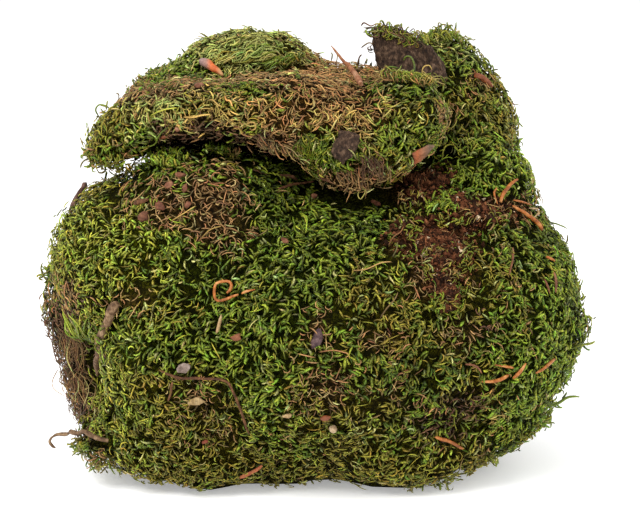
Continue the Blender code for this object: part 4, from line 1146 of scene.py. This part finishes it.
# %% Finishes of the litter
FINISHES = {
    "bark": grainy_finish("fissured_bark", ((22, 14, 9), (62, 44, 31), (112, 88, 68)), 1.7 * MM, 0.9, 1.2 * MM,
                          (1, 1, 0.8), shade=1.0),
    "dark_bark": grainy_finish("damp_bark", ((44, 26, 20), (92, 62, 50), (140, 108, 94)), 4 * MM, 0.8, 0.5 * MM,
                               (1, 1, 0.3)),
    "red_bark": grainy_finish("red_bark", ((74, 40, 26), (120, 72, 48), (164, 116, 86)), 6 * MM, 0.75, 0.3 * MM),
    "bud": grainy_finish("bud_scale_skin", ((96, 50, 28), (144, 78, 42), (158, 114, 88)), 8 * MM, 0.5,
                         0.12 * MM),
    "wood": grainy_finish("weathered_wood", ((62, 38, 24), (110, 72, 46), (156, 112, 80)), 5 * MM, 0.8,
                          0.3 * MM, (0.3, 1, 1)),
    "splinter": grainy_finish("split_wood", ((120, 66, 40), (170, 110, 72), (206, 160, 124)), 4 * MM, 0.7,
                              0.2 * MM, (1, 1, 0.2)),
    "needle": grainy_finish("waxy_needle", ((128, 66, 20), (184, 106, 40), (220, 156, 92)), 4 * MM, 0.45,
                            0.06 * MM, specular=0.3),
    "brown_needle": grainy_finish("old_needle", ((84, 48, 30), (130, 80, 50), (168, 118, 80)), 6 * MM, 0.5,
                                  0.06 * MM),
    "twig": grainy_finish("twig_bark", ((60, 36, 20), (104, 66, 38), (150, 104, 66)), 3 * MM, 0.8, 0.2 * MM),
    "stem": grainy_finish("pale_stem", ((70, 48, 32), (120, 90, 62), (178, 146, 110)), 2.4 * MM, 0.75, 0.25 * MM),
    "leaf": grainy_finish("papery_leaf", ((140, 106, 66), (186, 154, 108), (216, 192, 150)), 5 * MM, 0.7,
                          0.12 * MM),
    "grey_chip": grainy_finish("grey_chip", ((96, 78, 66), (150, 130, 118), (182, 164, 150)), 5 * MM, 0.8,
                               0.2 * MM),
    "pebble": grainy_finish("pale_pebble", ((140, 112, 80), (184, 156, 120), (208, 184, 150)), 3 * MM, 0.7,
                            0.1 * MM),
    "cone": grainy_finish("cone_scale", ((34, 20, 22), (70, 46, 48), (118, 92, 88)), 3 * MM, 0.5, 0.25 * MM),
    "soil": grainy_finish("forest_soil", ((22, 11, 6), (60, 32, 18), (104, 62, 37)), 1.2 * MM, 0.95, 1.2 * MM,
                          shade=1.0),
}
# Nodes that look unlike the rest of their slot
SPECIAL = {
    "bud_scale": banded_finish("bud_scale_ends", ((138, 110, 104), (150, 112, 98), (196, 100, 44), (180, 84, 36),
                                                  (184, 136, 88)), -54 * MM, -44.5 * MM, 0.5),
    "bark_flake_red": banded_finish("flake_ends", ((96, 58, 42), (148, 80, 44), (128, 86, 60), (98, 76, 60),
                                                   (122, 98, 76)), 43 * MM, 54 * MM, 0.75),
    "wood_chip": grainy_finish("damp_chip", ((60, 34, 22), (98, 58, 38), (132, 88, 62)), 4 * MM, 0.8, 0.3 * MM),
    "flake_low_red": grainy_finish("rust_bark", ((96, 42, 26), (130, 60, 38), (156, 92, 64)), 6 * MM, 0.7,
                                   0.2 * MM),
    "twig_low": grainy_finish("rust_twig", ((120, 60, 34), (170, 92, 56), (196, 130, 88)), 5 * MM, 0.8, 0.2 * MM),
    "leaf_tan": grainy_finish("striped_leaf", ((118, 94, 58), (168, 138, 90), (198, 172, 128)), 3 * MM, 0.7,
                              0.12 * MM, (1, 1, 0.2)),
    "leaf_scrap": grainy_finish("rust_leaf", ((96, 54, 34), (136, 80, 50), (164, 112, 78)), 6 * MM, 0.6,
                                0.12 * MM),
}
SLOT_OF = {s["node"]: s["material_slot"] for s in frame["record"]["subparts"]}
print("finishes", len(FINISHES))

# %% Roughen the litter
# slot: times cut in four, how far new corners round off, squeeze along the grain, (size, depth) of each noise in
# mm, how far it is warped in mm, and whether its faces are shaded as one skin
ROUGH = {
    "bark": (3, 0.2, (1, 1, 0.55), ((5.0, 1.6), (1.8, 1.5), (0.9, 0.9)), 1.5, False),
    "dark_bark": (3, 0.2, (1, 1, 0.5), ((2.4, 0.8), (1.1, 0.4)), 1.0, False),
    "soil": (2, 0.5, (1, 1, 1), ((4.2, 2.4), (2.0, 1.8), (1.0, 0.8)), 0.0, True),
    "cone": (3, 0.4, (1, 1, 0.6), ((3.0, 0.8), (1.2, 0.5)), 0.8, True),
    "pebble": (2, 0.6, (1, 1, 1), ((2.0, 0.4),), 0.5, True),
    "stem": (2, 0.7, (1, 1, 0.5), ((3.0, 0.7), (1.2, 0.35)), 0.8, True),
    "splinter": (2, 0.0, (1, 1, 0.2), ((1.6, 0.35),), 0.0, False),
    "bud": (2, 0.5, (1, 1, 1), ((3.0, 0.3),), 0.8, True),
    "needle": (1, 0.7, (1, 1, 1), ((2.5, 0.15),), 0.0, True),
    "brown_needle": (1, 0.7, (1, 1, 1), ((2.5, 0.15),), 0.0, True),
    "twig": (2, 0.6, (1, 1, 0.6), ((1.6, 0.3),), 0.0, True),
}
FLAKY = (2, 0.0, (1, 1, 1), ((2.2, 0.6), (1.2, 0.3)), 1.0, False)
WARP_SIZE = 4.5 * MM
# How deep each piece of litter is pressed in among the shoots, in mm; thin ones less
PRESSED = {"needle": 0.7, "brown_needle": 0.7, "twig": 1.4, "soil": 1.0, "stem_left": 3.6, "cone_scale": 3.0,
           "bark_slab": 0.0, "wood_splinter": 0.0, "stem_hooked": 0.0, "bark_chip": 1.5, "bark_strip": 0.5}
PRESSED_ELSE = 1.6


def pressed_in(node, points):
    """How far, and which way, the piece is moved: against the moss's normal at the place nearest to its middle."""
    middle = Vector(points.mean(0))
    met = min((g["tree"].find_nearest(middle) for g in GROUND.values()), key=lambda hit: hit[3])
    depth = PRESSED.get(node, PRESSED.get(SLOT_OF[node], PRESSED_ELSE))
    return -np.array(met[1]) * depth * MM


def roughened(node, seed):
    """The node's surface, refined, with three noises for the warp and the sum of the sized noises as relief."""
    slot = SLOT_OF[node]
    times, roundness, squeeze, relief, bend, smooth = ROUGH.get(slot, FLAKY)
    points, faces = welded(node)
    for _ in range(times):
        points, faces = refined(points, faces, roundness)
    normals = corner_normals(points, faces)
    read = points * np.array(squeeze)
    height = sum(depth * MM * (noise(read, size * MM, seed + k) - 0.5) for k, (size, depth) in enumerate(relief))
    warp = np.stack([noise(points, WARP_SIZE, seed + 50 + k) - 0.5 for k in range(3)], 1)
    points = points + normals * height[:, None] + warp * bend * MM
    points = points + pressed_in(node, points)
    points[:, 2] = np.maximum(points[:, 2], 0.1 * MM)
    thing = piece(node + "_surface", points, faces, SPECIAL.get(node, FINISHES[slot]), smooth=smooth)
    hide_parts(node)
    return {"points": points, "faces": faces, "normals": corner_normals(points, faces)}


SOILS = {}
for number, node in enumerate(n for n in NODES if n not in GROUND):
    surface = roughened(node, 100 + 7 * number)
    if SLOT_OF[node] == "soil":
        SOILS[node] = surface
print("litter nodes", len(NODES) - len(GROUND), "soil patches", len(SOILS))

# %% [markdown]
# Soil isn't one body: it is crumbs of all sizes, a few of them pale grit. They are eight-sided lumps with their
# six corners at random distances, strewn over the patches and half sunk.

# %% Strew crumbs over the soil
CRUMBS = {"soil_main": 1000, "soil_under_flap": 450, "soil_right": 500, "soil_low": 300}
CRUMB_TONES = (light(84, 48, 29), light(58, 33, 19), light(112, 70, 44), light(32, 18, 10), light(184, 162, 132))
CRUMB_SHARES = (0.34, 0.28, 0.16, 0.205, 0.015)
GROUND_CRUMBS = 2300
LUMP = np.array(((1, 0, 0), (-1, 0, 0), (0, 1, 0), (0, -1, 0), (0, 0, 1), (0, 0, -1)), float)
LUMP_FACES = np.array(((0, 2, 4), (2, 1, 4), (1, 3, 4), (3, 0, 4), (2, 0, 5), (1, 2, 5), (3, 1, 5), (0, 3, 5)))


def crumb_finish():
    made, shader, node, link = finish("soil_crumb", 0.95, 0.08)
    tint = node("ShaderNodeAttribute", attribute_name="tint")
    place = node("ShaderNodeTexCoord").outputs["Object"]
    fine = node("ShaderNodeTexNoise", {"Vector": place, "Scale": 1200.0, "Detail": 3.0})
    shade = node("ShaderNodeMapRange", {0: fine.outputs[0], 1: 0.3, 2: 0.7, 3: 0.5, 4: 1.4})
    mixed = node("ShaderNodeMix", {0: 1.0, 6: tint.outputs["Color"], 7: shade.outputs[0]}, data_type="RGBA",
                 blend_type="MULTIPLY")
    link(mixed.outputs[2], shader.inputs["Base Color"])
    return made


CRUMB_FINISH = crumb_finish()


def strewn(name, points, rng, fineness=3.0):
    """A piece of crumbs at points: most are fine, few are coarse, each with its own shape and tone."""
    count = len(points)
    size = (0.35 + 1.15 * rng.random((count, 1, 1)) ** fineness) * MM
    corners = points[:, None] + size * LUMP[None] * rng.uniform(0.6, 1.3, (count, 6, 1))
    corners += rng.normal(0, 0.2, corners.shape) * size
    faces = (LUMP_FACES[None] + 6 * np.arange(count)[:, None, None]).reshape(-1, 3)
    tone = np.array(CRUMB_TONES)[rng.choice(5, count, p=CRUMB_SHARES)] * rng.uniform(0.7, 1.3, (count, 1))
    piece(name, corners.reshape(-1, 3), faces, CRUMB_FINISH, np.repeat(tone, 6, 0), smooth=False)
    print(name, "crumbs", count)


for number, (node, surface) in enumerate(SOILS.items()):
    rng = np.random.default_rng(71 + number)
    count = CRUMBS[node]
    points, normals, _ = scattered(surface, count * 2, rng)
    strewn(node + "_crumbs", points[np.flatnonzero(normals @ -AHEAD > 0.2)[:count]], rng, 1.3)

points, normals, kind, rng = places("moss_cushion", GROUND_CRUMBS, np.array([float(k == "soil") for k in NAMES]), 90,
                                    draws=110)
strewn("soil_between_shoots", points - normals * rng.uniform(-0.3, 2.2, (len(points), 1)) * MM, rng)

# %% Measure and finish
total = sum(TRIANGLES.values())
print("triangles of the new pieces", total, "largest", max(TRIANGLES.values()))
